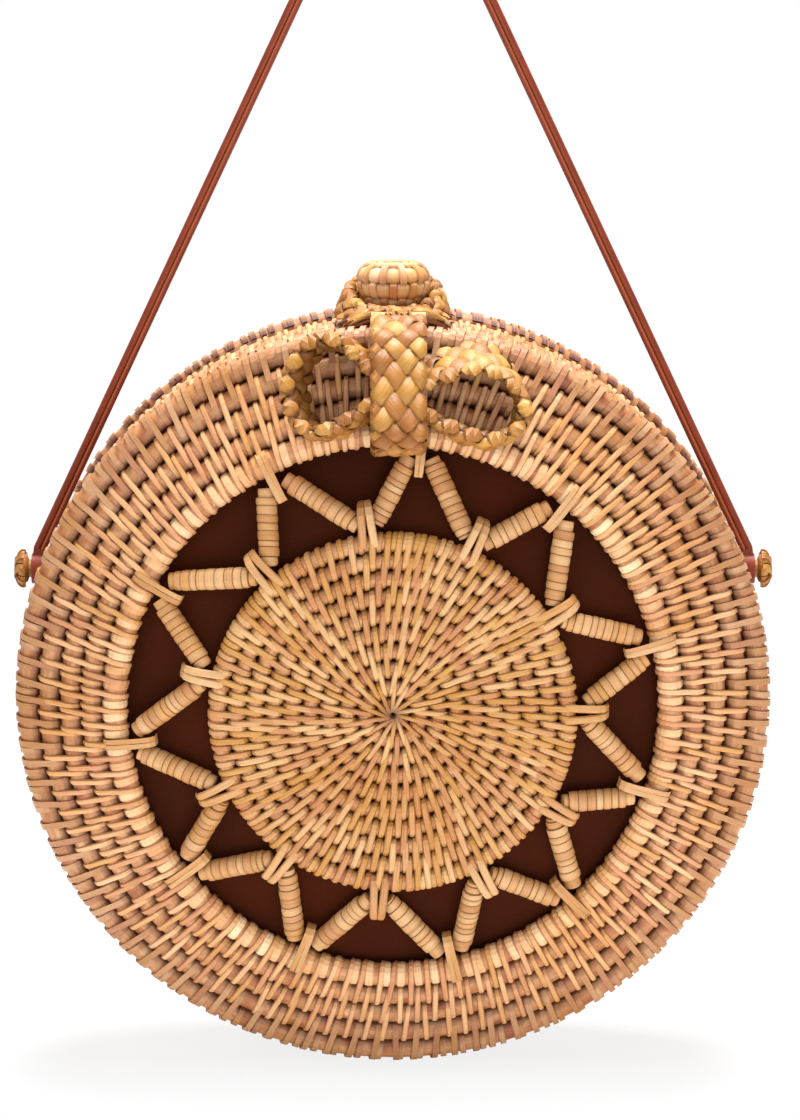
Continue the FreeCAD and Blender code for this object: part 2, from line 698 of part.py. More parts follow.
def closure_loop():
    """Collar that stands round the knob and narrows to an eye on the bow's pin."""
    high = COLLAR_LOW + COLLAR_TALL
    foot = level_ellipse(COLLAR_HOLE_X + COLLAR_FOOT_WALL, COLLAR_HOLE_Y + COLLAR_FOOT_WALL, COLLAR_LOW)
    top = level_ellipse(COLLAR_HOLE_X + COLLAR_TOP_WALL, COLLAR_HOLE_Y + COLLAR_TOP_WALL, high)
    collar = Part.makeLoft([foot, top], True, True).cut(above_collar())
    low = COLLAR_LOW + NECK_UP
    outline = [
        V(BOW_X + NECK_HALF, -PIN_Y, low),
        V(BOW_X + NECK_HALF, -PIN_Y + NECK_LONG, low),
        V(BOW_X + NECK_CAPE_HALF, -PIN_Y + NECK_CAPE_BACK, low),
        V(NECK_SHOULDER_HALF, -PIN_Y + NECK_SHOULDER_BACK, low),
        V(-NECK_SHOULDER_HALF, -PIN_Y + NECK_SHOULDER_BACK, low),
        V(BOW_X - NECK_CAPE_HALF, -PIN_Y + NECK_CAPE_BACK, low),
        V(BOW_X - NECK_HALF, -PIN_Y + NECK_LONG, low),
        V(BOW_X - NECK_HALF, -PIN_Y, low),
    ]
    neck = Part.Face(polygon(outline)).extrude(V(0, 0, NECK_THICK))
    eye = bar_along_x(PIN_EYE_R, BOW_X - NECK_HALF, BOW_X + NECK_HALF, -PIN_Y, PIN_Z)
    hole = Part.Face(level_ellipse(COLLAR_HOLE_X, COLLAR_HOLE_Y, COLLAR_LOW)).extrude(V(0, 0, COLLAR_TALL))
    bore = bar_along_x(PIN_R + PIN_RUN, BOW_X - BAND_WIDE, BOW_X + BAND_WIDE, -PIN_Y, PIN_Z)
    return collar.fuse([neck, eye]).cut(hole).cut(bore)


# Front half
wall = side_wall()
ring = face_ring()
disc = rosette()
bars = star_bars()
outer = outer_lashings(0)
inner = inner_lashings()
panel = lining_panel()
band = lining_strip()
save(wall, "front_side_wall")
save(ring, "front_face_ring")
save(disc, "front_rosette")
save(group(bars), "front_star_bars")
save(group(outer), "front_outer_lashings")
save(group(inner), "front_inner_lashings")
save(panel, "front_lining_panel")
save(band, "front_lining_strip")

# Back half, with holes for the knob's stem and the strap's studs
stem_hole = Part.makeCylinder(STEM_R + STEM_FIT, KNOB_FOOT - STEM_STOP_LOW, V(0, PEG_Y, STEM_STOP_LOW))
stop_low = STEM_STOP_LOW - STOP_HOLE_R
stop_hole = Part.makeCylinder(STOP_HOLE_R, KNOB_FOOT - stop_low, V(0, PEG_Y, stop_low))
stud_hole = bar_along_x(STUD_R + STUD_FIT, STUD_STOP_IN, STUD_HEAD_OUT, PEG_Y, STUD_Z)
stud_room = bar_along_x(STUD_HOLE_R, STUD_STOP_IN - STUD_HOLE_R, STUD_HEAD_OUT, PEG_Y, STUD_Z)
save(to_back(wall).cut([stem_hole, stud_hole, to_left(stud_hole)]), "back_side_wall")
save(to_back(ring), "back_face_ring")
save(to_back(disc), "back_rosette")
save(group([to_back(b) for b in bars]), "back_star_bars")
save(group([to_back(b) for b in outer]), "back_outer_lashings")
save(group([to_back(b) for b in inner]), "back_inner_lashings")
save(to_back(panel), "back_lining_panel")
save(to_back(band).cut([stop_hole, stud_room, to_left(stud_room)]), "back_lining_strip")

# Hinge
save(hinge_cane(), "hinge_cane")
save(group([hinge_loop(x, LOOP_RUN) for x in (-BACK_LOOP_X, BACK_LOOP_X)]), "hinge_back_loops")
front_loops = [to_back(hinge_loop(x, LOOP_GRIP)) for x in (-FRONT_LOOP_X, FRONT_LOOP_X)]
save(group(front_loops), "hinge_front_loops")

# Knob, bow and closure loop
save(knob_stem(), "knob_stem")
save(knob_head(), "knob_head")
left_ribbon = Ribbon(-1, LEFT_SHARES, LEFT_ROOT_SHARES, LEFT_LEAN_SHARE, LEFT_DROOP)
right_ribbon = Ribbon(1, RIGHT_SHARES, RIGHT_ROOT_SHARES, RIGHT_LEAN_SHARE, RIGHT_DROOP)
save(bow_loop(left_ribbon), "bow_left_loop")
save(bow_loop(right_ribbon), "bow_right_loop")
save(bow_band(), "bow_band")
save(bow_pin(), "bow_pin")
save(closure_loop(), "closure_loop")

# Strap
stud = strap_stud()
eye = strap_eye()
save(stud, "strap_stud_right")
save(to_left(stud), "strap_stud_left")
save(eye, "strap_eye_right")
save(to_left(eye), "strap_eye_left")
save(strap_cord(), "strap_cord")
print("hang point above the bag's centre", round(HANG_Z, 3), "mm")
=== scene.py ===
# %% [markdown]
# # A round cane bag with a straw bow
# The bag is basketry, so nearly all of its look is strips of cane that run over and under
# rods of cane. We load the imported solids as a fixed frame, and then weave each piece around
# the place that its solid holds.

# %% Load the frame
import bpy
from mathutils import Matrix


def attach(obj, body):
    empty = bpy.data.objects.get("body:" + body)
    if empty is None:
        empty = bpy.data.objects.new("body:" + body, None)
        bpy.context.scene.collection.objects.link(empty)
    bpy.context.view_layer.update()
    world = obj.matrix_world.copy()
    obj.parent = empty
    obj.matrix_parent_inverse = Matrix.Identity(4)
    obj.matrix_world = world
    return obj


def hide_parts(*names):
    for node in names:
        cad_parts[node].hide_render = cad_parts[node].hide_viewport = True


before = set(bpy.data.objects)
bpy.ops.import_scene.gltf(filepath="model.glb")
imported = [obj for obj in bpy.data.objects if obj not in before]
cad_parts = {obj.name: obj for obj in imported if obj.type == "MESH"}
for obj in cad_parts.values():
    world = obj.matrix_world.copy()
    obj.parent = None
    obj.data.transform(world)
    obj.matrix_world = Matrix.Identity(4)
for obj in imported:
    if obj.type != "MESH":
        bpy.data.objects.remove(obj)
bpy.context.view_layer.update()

# %% [markdown]
# We draw in millimetres about the middle of the bag: X to its right, Y to its back, Z up.
# One matrix then carries a finished mesh into the frame, whose origin is under the strap.

# %% Tools and the matrix
import bpy
import bmesh
import bisect
import random
from math import atan2, ceil, cos, hypot, pi, radians, sin, sqrt, tan
from mathutils import Matrix, Vector

BAG_MIDDLE = Vector((0, -0.0059, -0.224056))
BAG_TO_FRAME = Matrix.Translation(BAG_MIDDLE) @ Matrix.Scale(0.001, 4)
SIDES = ("front", "back")
scene = bpy.context.scene
scene.view_settings.view_transform = "Standard"


def in_frame(x, y, z):
    return BAG_TO_FRAME @ Vector((x, y, z))


# %% [markdown]
# The photograph looks slightly down on the face from about a metre away. The pixel of the
# face's middle and the pixels to a millimetre there give the lens and the camera's place.

# %% Camera
PHOTO_WIDE, PHOTO_TALL = 800, 1120
FACE_PIXEL = (393, 699)
PIXELS_PER_MM = 3.765
FACE_Y = -20.8
AWAY = 1.0
SENSOR = 36
PITCH = radians(11.4)

ahead = Vector((0, cos(PITCH), -sin(PITCH)))
above = Vector((0, sin(PITCH), cos(PITCH)))
right = Vector((1, 0, 0))
mm_right = (PHOTO_WIDE / 2 - FACE_PIXEL[0]) / PIXELS_PER_MM
mm_up = (FACE_PIXEL[1] - PHOTO_TALL / 2) / PIXELS_PER_MM
camera = bpy.data.objects.new("camera", bpy.data.cameras.new("camera"))
scene.collection.objects.link(camera)
camera.location = in_frame(0, FACE_Y, 0) - ahead * AWAY + (right * mm_right + above * mm_up) * 0.001
camera.rotation_euler = (pi / 2 - PITCH, 0, 0)
camera.data.sensor_width = SENSOR
camera.data.lens = SENSOR * AWAY * 1000 * PIXELS_PER_MM / PHOTO_TALL
scene.camera = camera
print("lens", round(camera.data.lens, 1), "mm")

# %% [markdown]
# A shader sum is easier to read as a Python expression than as a row of nodes. `Value`
# wraps one socket, and adding or multiplying it adds the Math node. `Nodes` is a node
# tree, and its `node` method adds any other node. `Finish` is the tree of one material.

# %% Shader tools


class Value:
    def __init__(self, nodes, socket):
        self.nodes, self.socket = nodes, socket

    def also(self, output):
        """Another output of the same node."""
        return Value(self.nodes, self.socket.node.outputs[output])

    def math(self, operation, other=0.0):
        return self.nodes.node("ShaderNodeMath", {"operation": operation}, {0: self, 1: other})

    def ramp(self, low, high, start=0.0, end=1.0):
        return self.nodes.node("ShaderNodeMapRange", sockets={0: self, 1: low, 2: high, 3: start, 4: end})

    def __add__(self, other):
        return self.math("ADD", other)

    def __sub__(self, other):
        return self.math("SUBTRACT", other)

    def __mul__(self, other):
        return self.math("MULTIPLY", other)

    __radd__ = __add__


class Nodes:
    def __init__(self, tree):
        self.tree = tree

    def put(self, socket, value):
        if isinstance(value, Value):
            self.tree.links.new(value.socket, socket)
        else:
            socket.default_value = value

    def node(self, kind, settings=None, sockets=None, output=0):
        made = self.tree.nodes.new(kind)
        for key, value in (settings or {}).items():
            if key == "stops":
                ramp = made.color_ramp.elements
                while len(ramp) < len(value):
                    ramp.new(0.5)
                for element, (place, colour) in zip(ramp, value):
                    element.position = place
                    element.color = colour
            else:
                setattr(made, key, value)
        for key, value in (sockets or {}).items():
            self.put(made.inputs[key], value)
        return Value(self, made.outputs[output])

    def place(self):
        return self.node("ShaderNodeTexCoord", output="Object")

    def noise(self, vector, scale, detail, rough=0.5):
        sockets = {"Vector": vector, "Scale": scale, "Detail": detail, "Roughness": rough}
        return self.node("ShaderNodeTexNoise", sockets=sockets)

    def bump(self, height, strength, deep):
        sockets = {"Strength": strength, "Distance": deep, "Height": height}
        return self.node("ShaderNodeBump", sockets=sockets)

    def mark(self, name):
        return self.node("ShaderNodeAttribute", {"attribute_name": name}, output="Fac")

    def blend(self, share, a, b):
        return self.node("ShaderNodeMix", {"data_type": "RGBA"}, {0: share, 6: a, 7: b}, output=2)


class Finish(Nodes):
    def __init__(self, name):
        self.material = bpy.data.materials.new(name)
        self.material.use_nodes = True
        super().__init__(self.material.node_tree)
        self.shader = self.tree.nodes["Principled BSDF"]

    def set(self, **sockets):
        for key, value in sockets.items():
            self.put(self.shader.inputs[key.replace("_", " ")], value)


def tint(code):
    """Colour of a screen code, as light."""
    parts = [int(code[k:k + 2], 16) / 255 for k in (0, 2, 4)]
    return tuple(((c + 0.055) / 1.055) ** 2.4 if c > 0.04 else c / 12.92 for c in parts) + (1.0,)


# %% [markdown]
# Cane peel is flat, satin and fibrous. Its fibres run along the strip, so the grain is a
# noise that is long in `along` and short in `across`, two marks that each strip carries in
# millimetres. A third mark, `tone`, differs from strip to strip: some are pale, some pink,
# some golden. The fourth mark is painted shade: it is one in the crevices, where shade
# falls, and it turns the colour to a dark shade colour, which also draws the grain's darker
# lines. A rod has no strip to follow, so its fibres run round the bag's axis.

# %% Cane finishes


def cane(name, tones, shade_and_grain, patch, rough=0.42, grain_bump=0.35, rod=False):
    finish = Finish(name)
    place = finish.place()
    tone = finish.mark("tone")
    if rod:
        axes = finish.node("ShaderNodeVectorMath", {"operation": "ADD"}, {0: place, 1: -BAG_MIDDLE})
        aside = finish.node("ShaderNodeSeparateXYZ", sockets={0: axes})
        deep, height = aside.also(1), aside.also(2)
        turn = aside.math("ARCTAN2", height)
        out = (aside * aside + height * height).math("SQRT")
        spread = {0: turn * 9.0, 1: out * 2600.0, 2: deep * 2600.0}
    else:
        spread = {0: finish.mark("along") * 0.16, 1: finish.mark("across") * 2.6, 2: tone * 61.0}
    fibre = finish.node("ShaderNodeCombineXYZ", sockets=spread)
    grain = finish.noise(fibre, 1.0, 3.0, 0.6)
    cloud = finish.noise(place, 46.0, 1.0)
    stops = [(k / (len(tones) - 1), tint(code)) for k, code in enumerate(tones)]
    if rod:
        tone = (finish.noise(place, 210.0, 0.0) - 0.5) * 1.7 + 0.5
    colour = finish.node("ShaderNodeValToRGB", {"stops": stops}, {"Fac": tone})
    colour = finish.blend(cloud.ramp(0.5, 0.7) * 0.6, colour, tint(patch))
    colour = finish.blend(grain.ramp(0.42, 0.75) * 0.34, colour, tint(shade_and_grain))
    # Painted shade: the fourth mark turns the colour to the shade colour in the crevices.
    colour = finish.blend(finish.mark("dark"), colour, tint(shade_and_grain))
    bump = finish.bump(grain, grain_bump, 0.0004)
    finish.set(Base_Color=colour, Roughness=rough + grain * 0.22, Normal=bump)
    return finish.material


rod_cane = cane("rod_cane", ("904C28", "AC6C3E", "C28A5A", "AE7648", "CE9E6E"), "360F05", "A86A2E", rod=True)
peel_cane = cane("peel_cane", ("BE8256", "CC9264", "DEAE7E", "D29C68", "C68E50"), "501C0A", "C4863E")
heart_cane = cane("heart_cane", ("B47C48", "C08E5A", "CCA06E", "BE8648"), "54280F", "B27C38")
pale_cane = cane("pale_cane", ("CA8C5C", "DAA472", "E8C092", "D0985E", "F0D2A6"), "5C2C12", "CE9850")
gold_cane = cane("gold_cane", ("AC6E3A", "BC844E", "CEA26C", "BE8A46", "B27A2E"), "4A1A08", "B07226")
print("cane finishes:", [m.name for m in (rod_cane, peel_cane, heart_cane, pale_cane, gold_cane)])

# %% [markdown]
# Plaited straw is softer and more golden than cane, and its folds catch the light. The
# same recipe serves, with a warmer ladder of tones. A second, deeper orange finish covers
# the soft cores under the plaits, seen in their gaps: it is painted shade, and inside the
# bow's loops a painted glow of light that passes from straw to straw.

# %% Straw finish
straw = cane("straw", ("92571A", "9E6420", "AA7328", "BE8C3C"), "3E1804", "9A621A", 0.38, 0.5)
# Painted shade: the cores' finish, darker and more orange than the straw itself.
straw_gap_shade = cane("straw_gap_shade", ("8A4A1C", "9A5A26", "AA6A30"), "4A220C", "92501E", 0.5, 0.4)
print("straw finishes:", straw.name, straw_gap_shade.name)

# %% [markdown]
# The lining is plain dark cotton. Two sets of fine waves at right angles are its threads.
# The strap is rolled leather: an almost even red brown, with pores, some wear, and a painted highlight along
# its ridges.

# %% Cloth and leather finishes


def lining_cloth():
    finish = Finish("lining_cloth")
    place = finish.place()
    sockets = {"Vector": place, "Scale": 520.0, "Distortion": 0.4}
    warp, weft = (finish.node("ShaderNodeTexWave", {"bands_direction": way}, sockets) for way in "XZ")
    thread = warp * weft
    soft = finish.noise(place, 24.0, 2.0)
    colour = finish.blend(soft, tint("1C0803"), tint("461A06"))
    colour = finish.blend(thread * 0.3, colour, tint("4C2009"))
    bump = finish.bump(thread, 0.3, 0.0003)
    finish.set(Base_Color=colour, Roughness=soft * 0.1 + 0.82, Normal=bump, Specular_IOR_Level=0.08)
    return finish.material


def strap_leather():
    finish = Finish("strap_leather")
    place = finish.place()
    pore = finish.node("ShaderNodeTexVoronoi", sockets={"Vector": place, "Scale": 1500.0})
    wear_and_highlight = finish.noise(place, 160.0, 3.0)
    colour = finish.blend(wear_and_highlight, tint("5E2010"), tint("88391F"))
    # Painted highlight: a lighter brown where the lace's ridges are marked.
    colour = finish.blend(finish.mark("dark"), colour, tint("C46E48"))
    bump = finish.bump(pore, 0.25, 0.0002)
    finish.set(Base_Color=colour, Roughness=wear_and_highlight * 0.2 + 0.4, Normal=bump, Specular_IOR_Level=0.2)
    return finish.material


cloth = lining_cloth()
leather = strap_leather()
print("soft finishes:", cloth.name, leather.name)

# %% [markdown]
# A piece is a bmesh with four marks on its vertices. When it is done, it is turned the
# right way out, carried into the frame and tied to its body, and the solids that it stands
# for are hidden. Back pieces are the front ones mirrored.

# %% Pieces
MARKS = ("tone", "along", "across", "dark")
dice = random.Random(11)


def new_weave():
    weave = bmesh.new()
    for mark in MARKS:
        weave.verts.layers.float.new(mark)
    return weave


def marks(weave, *names):
    return [weave.verts.layers.float[name] for name in names]


def join(weave, other):
    """Adds another weave to this one."""
    mesh = bpy.data.meshes.new("joined")
    other.to_mesh(mesh)
    other.free()
    weave.from_mesh(mesh)
    bpy.data.meshes.remove(mesh)


def add_piece(name, weave, finishes, body, nodes, to_back=False, sharp=42):
    if to_back:
        bmesh.ops.scale(weave, vec=(1, -1, 1), verts=weave.verts)
    bmesh.ops.recalc_face_normals(weave, faces=weave.faces)
    bmesh.ops.transform(weave, matrix=BAG_TO_FRAME, verts=weave.verts)
    mesh = bpy.data.meshes.new(name)
    weave.to_mesh(mesh)
    weave.free()
    mesh.shade_smooth()
    mesh.set_sharp_from_angle(angle=radians(sharp))
    for finish in finishes:
        mesh.materials.append(finish)
    piece = bpy.data.objects.new(name, mesh)
    scene.collection.objects.link(piece)
    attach(piece, body)
    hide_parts(*nodes)
    print(name, len(mesh.polygons), "faces")
    return piece


def add_half(side, name, weave, finishes, node):
    """A piece that both halves have."""
    name, body, node = (f"{side}_{end}" for end in (name, "half", node))
    return add_piece(name, weave, finishes, body, [node], to_back=side == "back")


# %% [markdown]
# Everything here is a rod or a strip, so one helper does most of the work. It starts from
# one face and extrudes it from section to section. A strip's section is five points: flat
# below, with slightly crowned and rounded top edges, as split cane has.

# %% Lofted rods and strips


def loft(weave, sections, tone=0.5, closed=False, finish=0):
    tones, alongs, acrosses = marks(weave, "tone", "along", "across")
    first = last = weave.faces.new([weave.verts.new(p) for p in sections[0]])
    run = 0.0
    made = []
    sides = set()
    for k, section in enumerate(sections):
        if k:
            grown = bmesh.ops.extrude_face_region(weave, geom=[last])["geom"]
            last = next(g for g in grown if isinstance(g, bmesh.types.BMFace))
            run += (section[0] - sections[k - 1][0]).length
        reach = 0.0
        for j, (vert, point) in enumerate(zip(last.verts, section)):
            reach += (point - section[j - 1]).length if j else 0.0
            vert.co = point
            vert[tones], vert[alongs], vert[acrosses] = tone, run, reach
            made.append(vert)
    for vert in made:
        sides.update(vert.link_faces)
    for face in sides:
        face.material_index = finish
    if closed:
        rims = list(first.edges) + list(last.edges)
        bmesh.ops.delete(weave, geom=[first, last], context="FACES_ONLY")
        bmesh.ops.bridge_loops(weave, edges=rims)
    return made


def strip_section(middle, side, up, wide, thick):
    half = wide / 2
    brow = half - min(0.3, wide * 0.16)
    outline = ((-half, -0.5), (-brow, 0.3), (0, 0.5), (brow, 0.3), (half, -0.5))
    return [middle + side * x + up * thick * h for x, h in outline]


def strip(weave, route, side, outward, wide, thick, tone, finish=0):
    sections = []
    for k, point in enumerate(route):
        way = route[min(k + 1, len(route) - 1)] - route[max(k - 1, 0)]
        up = side.cross(way).normalized()
        if up.dot(outward) < 0:
            up = -up
        sections.append(strip_section(point, side, up, wide, thick))
        outward = up
    return loft(weave, sections, tone, finish=finish)


# %% [markdown]
# The coils of wall, ring and disc are rings about the bag's axis: a small circle spun all
# the way round. The strips over them repeat round the same axis, so one strip is lofted
# above the axis and `spin` copies it. Hands are never exact: each copy is then turned a
# little, leaned a little and given its own tone.

# %% Coils and wheels of strips


def spin(weave, geom, axis, steps, angle=2 * pi, **how):
    bmesh.ops.spin(weave, geom=geom, axis=axis, angle=angle, steps=steps, **how)


def coil(weave, r, y, half, outward, tone, around=12, steps=160, free=0, shade=1.0):
    """One coil, with painted shade down its sides, but not on a side that is free."""
    stand = Matrix.Translation((0, y, r)) @ Matrix.Rotation(pi / 2, 4, "Y")
    ring = bmesh.ops.create_circle(weave, segments=around, radius=half, matrix=stand)["verts"]
    tones, darks = marks(weave, "tone", "dark")
    for vert in ring:
        lift = ((vert.co.z - r) * outward[0] + (vert.co.y - y) * outward[1]) / half
        aside = (vert.co.z - r) * outward[1] - (vert.co.y - y) * outward[0]
        vert[tones] = tone
        share = 0.15 if aside * free > 0 else 1.0
        # Painted shade: darker away from the crest where coils meet, little on a free side.
        vert[darks] = shade * min(1.0, max(0.0, 0.96 - lift) * 1.5) ** 1.4 * share
    edges = {e for v in ring for e in v.link_edges}
    spin(weave, ring + list(edges), (0, 1, 0), steps, use_merge=True)


def between(row, count):
    """Places for the next row's strips: one in each gap of a row, and two where it has to grow."""
    gaps, more = len(row), count - len(row)
    first = dice.random()
    grow = {int((k + first) * gaps / more) for k in range(more)}
    places = []
    for k in range(gaps):
        left, right = row[k], row[(k + 1) % gaps] + (2 * pi if k + 1 == gaps else 0)
        shares = (0.27, 0.77) if k in grow else (0.5,)
        places += [left + (right - left) * (share + dice.gauss(0, 0.03)) for share in shares]
    for _ in range(2):
        before = [places[-1] - 2 * pi] + places[:-1]
        after = places[1:] + [places[0] + 2 * pi]
        places = [p + 0.45 * ((a + b) / 2 - p) for a, p, b in zip(before, places, after)]
    return places


def wheel(weave, lay, path, outward, wide, thick, count, phase, lean=0.0, loose=0.08, finish=1, beside=None):
    """Strips on a path, laid all round the axis, in the gaps of the row beside them."""
    spokes = new_weave()
    profile = [lay(*place) for place in path]
    route = [Vector((0, y, r)) for r, y in profile]
    up = Vector((0, outward[1], outward[0]))
    verts = strip(spokes, route, Vector((1, 0, 0)), up, wide, thick, 0.5, finish)
    tones, alongs, darks = marks(spokes, "tone", "along", "dark")
    # Painted shade at each strip's ends, where it dives under a coil, and along its two edges.
    for j, vert in enumerate(verts):
        near_end = min(j // 5, len(route) - 1 - j // 5)
        vert[darks] = {0: 0.8, 1: 0.35}.get(near_end, 0.0) + (0.35 if j % 5 in (0, 4) else 0.0)
    mid = max(v[alongs] for v in verts) / 2
    step = 2 * pi / count
    geom = spokes.verts[:] + spokes.edges[:] + spokes.faces[:]
    spin(spokes, geom, (0, 1, 0), count - 1, step * (count - 1), use_duplicate=True)
    spokes.verts.ensure_lookup_table()
    size = len(verts)
    near_r, far_r = profile[len(profile) // 4][0], profile[len(profile) * 3 // 4][0]
    starts = between(beside, count) if beside else None
    ends = []
    for k in range(count):
        copy = spokes.verts[k * size:(k + 1) * size]
        base = atan2(copy[2].co.x, copy[2].co.z)
        turn = (phase + dice.gauss(0, loose)) * step
        tilt = lean + dice.gauss(0, 0.03)
        if starts:
            turn = starts[k] + tilt * mid / 2 / near_r - base
        tone = dice.random()
        for vert in copy:
            r = hypot(vert.co.x, vert.co.z)
            vert.co = Matrix.Rotation(turn + tilt * (vert[alongs] - mid) / r, 3, "Y") @ vert.co
            vert[tones] = tone
        ends.append((base + turn + tilt * mid / 2 / far_r) % (2 * pi))
    join(weave, spokes)
    return sorted(ends)


def rise(s, top, half):
    """Strip that comes up out of the valley before a coil."""
    return [
        (s - half - 0.02, top * 0.12), (s - half * 0.84, top * 0.55), (s - half * 0.48, top * 0.88), (s, top),
    ]


def round_edge(s, top, first, last, steps=5):
    """Strip bent round the free edge of a coil, between two angles from its crest."""
    turns = [radians(first + (last - first) * k / steps) for k in range(steps + 1)]
    return [(s + top * sin(a), top * cos(a)) for a in turns]


def fall(s, top, half):
    """Strip that goes down into the valley after a coil."""
    return [(2 * s - a, h) for a, h in reversed(rise(s, top, half))]


# %% [markdown]
# The face ring lies on a cone of 23 degrees. A place on it is `s`, the way from the
# outermost coil down towards the middle, and `h`, the height over the coils' middles.
# Each strip covers two coils, and each set of strips starts one coil further in and about
# a third of a step on, which gives the twill. The innermost coil is bound all round.

# %% Face rings
RING_R, RING_Y, RING_PITCH, RING_SLOPE = 96.5, FACE_Y, 6.35, radians(23)
RING_COILS, RING_STRIPS, TWILL = 5, 108, 0.31
RING_OUT, RING_LAST = (sin(RING_SLOPE), -cos(RING_SLOPE)), (RING_COILS - 1) * RING_PITCH


def on_ring(s, h):
    r = RING_R - s * cos(RING_SLOPE) + h * RING_OUT[0]
    return r, RING_Y - s * sin(RING_SLOPE) + h * RING_OUT[1]


def face_ring(side):
    weave = new_weave()
    for k in range(RING_COILS):
        r, y = on_ring(k * RING_PITCH, 0)
        free = {0: -1, RING_COILS - 1: 1}.get(k, 0)
        coil(weave, r, y, 3.08, RING_OUT, 0.2 + 0.15 * k, free=free)
    top, half = 3.42, 3.1
    for k in range(RING_COILS - 1):
        a, b = k * RING_PITCH, (k + 1) * RING_PITCH
        begin = rise(a, top, half) if k else round_edge(a, top, -125, 0)
        end = fall(b, top, half) if b < RING_LAST else round_edge(b, top, 0, 120)
        path = begin + [((a + b) / 2, top - 0.12)] + end
        wheel(weave, on_ring, path, RING_OUT, 1.62, 0.75, RING_STRIPS, TWILL * k, lean=-0.1)
    rim = round_edge(0, top - 0.1, -125, 0) + fall(0, top - 0.1, half)[1:]
    wheel(weave, on_ring, rim, RING_OUT, 1.55, 0.7, RING_STRIPS, -TWILL, lean=-0.1)
    bound = rise(RING_LAST, 3.22, half) + round_edge(RING_LAST, 3.22, 20, 140)
    wheel(weave, on_ring, bound, RING_OUT, 2.4, 0.45, RING_STRIPS, TWILL * (RING_COILS - 2) + 0.5, finish=2)
    add_half(side, "ring_weave", weave, [rod_cane, peel_cane, pale_cane], "face_ring")


for side in SIDES:
    face_ring(side)

# %% [markdown]
# The side wall has three coils to a half. Its strips are laid the same way, and those at
# the seam bend over the rim.

# %% Side walls
WALL_R, WALL_Y, WALL_PITCH, WALL_STRIPS = 95.0, -3.025, 5.75, 112


def on_wall(s, h):
    return WALL_R + h, WALL_Y - s


def side_wall(side):
    weave = new_weave()
    out = (1.0, 0.0)
    for k in range(3):
        r, y = on_wall(k * WALL_PITCH, 0)
        coil(weave, r, y, 2.75, out, 0.3 + 0.2 * k, free=0 if k else -1, shade=0.6)
    top, half = 3.05, 2.85
    a, b, c = 0, WALL_PITCH, 2 * WALL_PITCH
    rim = round_edge(a, 2.9, -80, -15, 3)
    paths = [
        rim + [(a, top), ((a + b) / 2, top - 0.1)] + fall(b, top, half),
        rise(b, top, half) + [((b + c) / 2, top - 0.1)] + fall(c, top, half),
        rise(c, top, half) + fall(c, top, half)[1:],
        rim + fall(a, top, half),
    ]
    for path, phase in zip(paths, (0, TWILL, 2 * TWILL, -TWILL)):
        wheel(weave, on_wall, path, out, 1.5, 0.7, WALL_STRIPS, phase)
    add_half(side, "wall_weave", weave, [rod_cane, peel_cane], "side_wall")


for side in SIDES:
    side_wall(side)

# %% [markdown]
# The disc in the middle is a tight coil sewn from its centre outwards. Fourteen strips
# start at the middle like a star. Every row further out has more of them, and each of
# those lies in a gap of the row before.

# %% Rosettes
DISC_PITCH, DISC_Y = 4.8, -36.75
DISC_COUNTS = (14, 21, 29, 37, 45, 52, 59, 65, 71)
DISC_ROWS = len(DISC_COUNTS)


def on_disc(r, h):
    return r, DISC_Y - h


def rosette(side):
    weave = new_weave()
    out = (0.0, -1.0)
    for k in range(DISC_ROWS + 1):
        r, y = on_disc(DISC_PITCH * (k + 0.5), 0)
        free = -1 if k == DISC_ROWS else 0
        coil(weave, r, y, 2.28, out, 0.3 + 0.05 * k, around=10, steps=48 + 8 * k, free=free)
    top, half = 2.55, 2.3
    row = None
    for k, count in enumerate(DISC_COUNTS):
        a, b = DISC_PITCH * (k + 0.5), DISC_PITCH * (k + 1.5)
        begin = rise(a, top, half) if k else [(0.9, top - 0.1), (a, top + 0.1)]
        end = fall(b, top, half) if k + 1 < DISC_ROWS else round_edge(b, top, 0, 125)
        path = begin + [((a + b) / 2, top - 0.08)] + end
        wide = 1.3 if k == 0 else min(1.9, 1.5 + 0.08 * k)
        row = wheel(weave, on_disc, path, out, wide, 0.75, count, TWILL * k, 0.12, 0.05, beside=row)
    edge = DISC_PITCH * (DISC_ROWS + 0.5)
    rim = rise(edge, top - 0.05, half) + round_edge(edge, top - 0.05, 25, 125)
    wheel(weave, on_disc, rim, out, 1.7, 0.7, DISC_COUNTS[-1], 0.5, lean=0.1, beside=row)
    add_half(side, "disc_weave", weave, [rod_cane, gold_cane], "rosette")


for side in SIDES:
    rosette(side)

# %% [markdown]
# The bars of the star are short canes wound with peel. A wavy outline, one wave to a
# turn, is spun about the bar, and then sheared a little, because a winding climbs. The
# angles of the star's points are read from the photograph, since no two are alike.

# %% Wrapped bars
OUTER = (116.8, 84.0, 50.7, 14.4, -18.0, -47.4, -77.0, -110.2, -141.4, -172.9, -208.3)
INNER = (131.6, 97.6, 65.2, 32.1, 0.6, -31.0, -62.0, -94.3, -126.3, -155.3, -191.8)
RING_END_R, RING_END_ASIDE, RING_END_Y = 67.6, 2.75, -32.9
DISC_END_R, DISC_END_ASIDE, DISC_END_Y = 50.5, 2.15, -36.6


def on_face(r, angle, aside, y):
    turn = radians(angle)
    return Vector((r * cos(turn) - aside * sin(turn), y, r * sin(turn) + aside * cos(turn)))


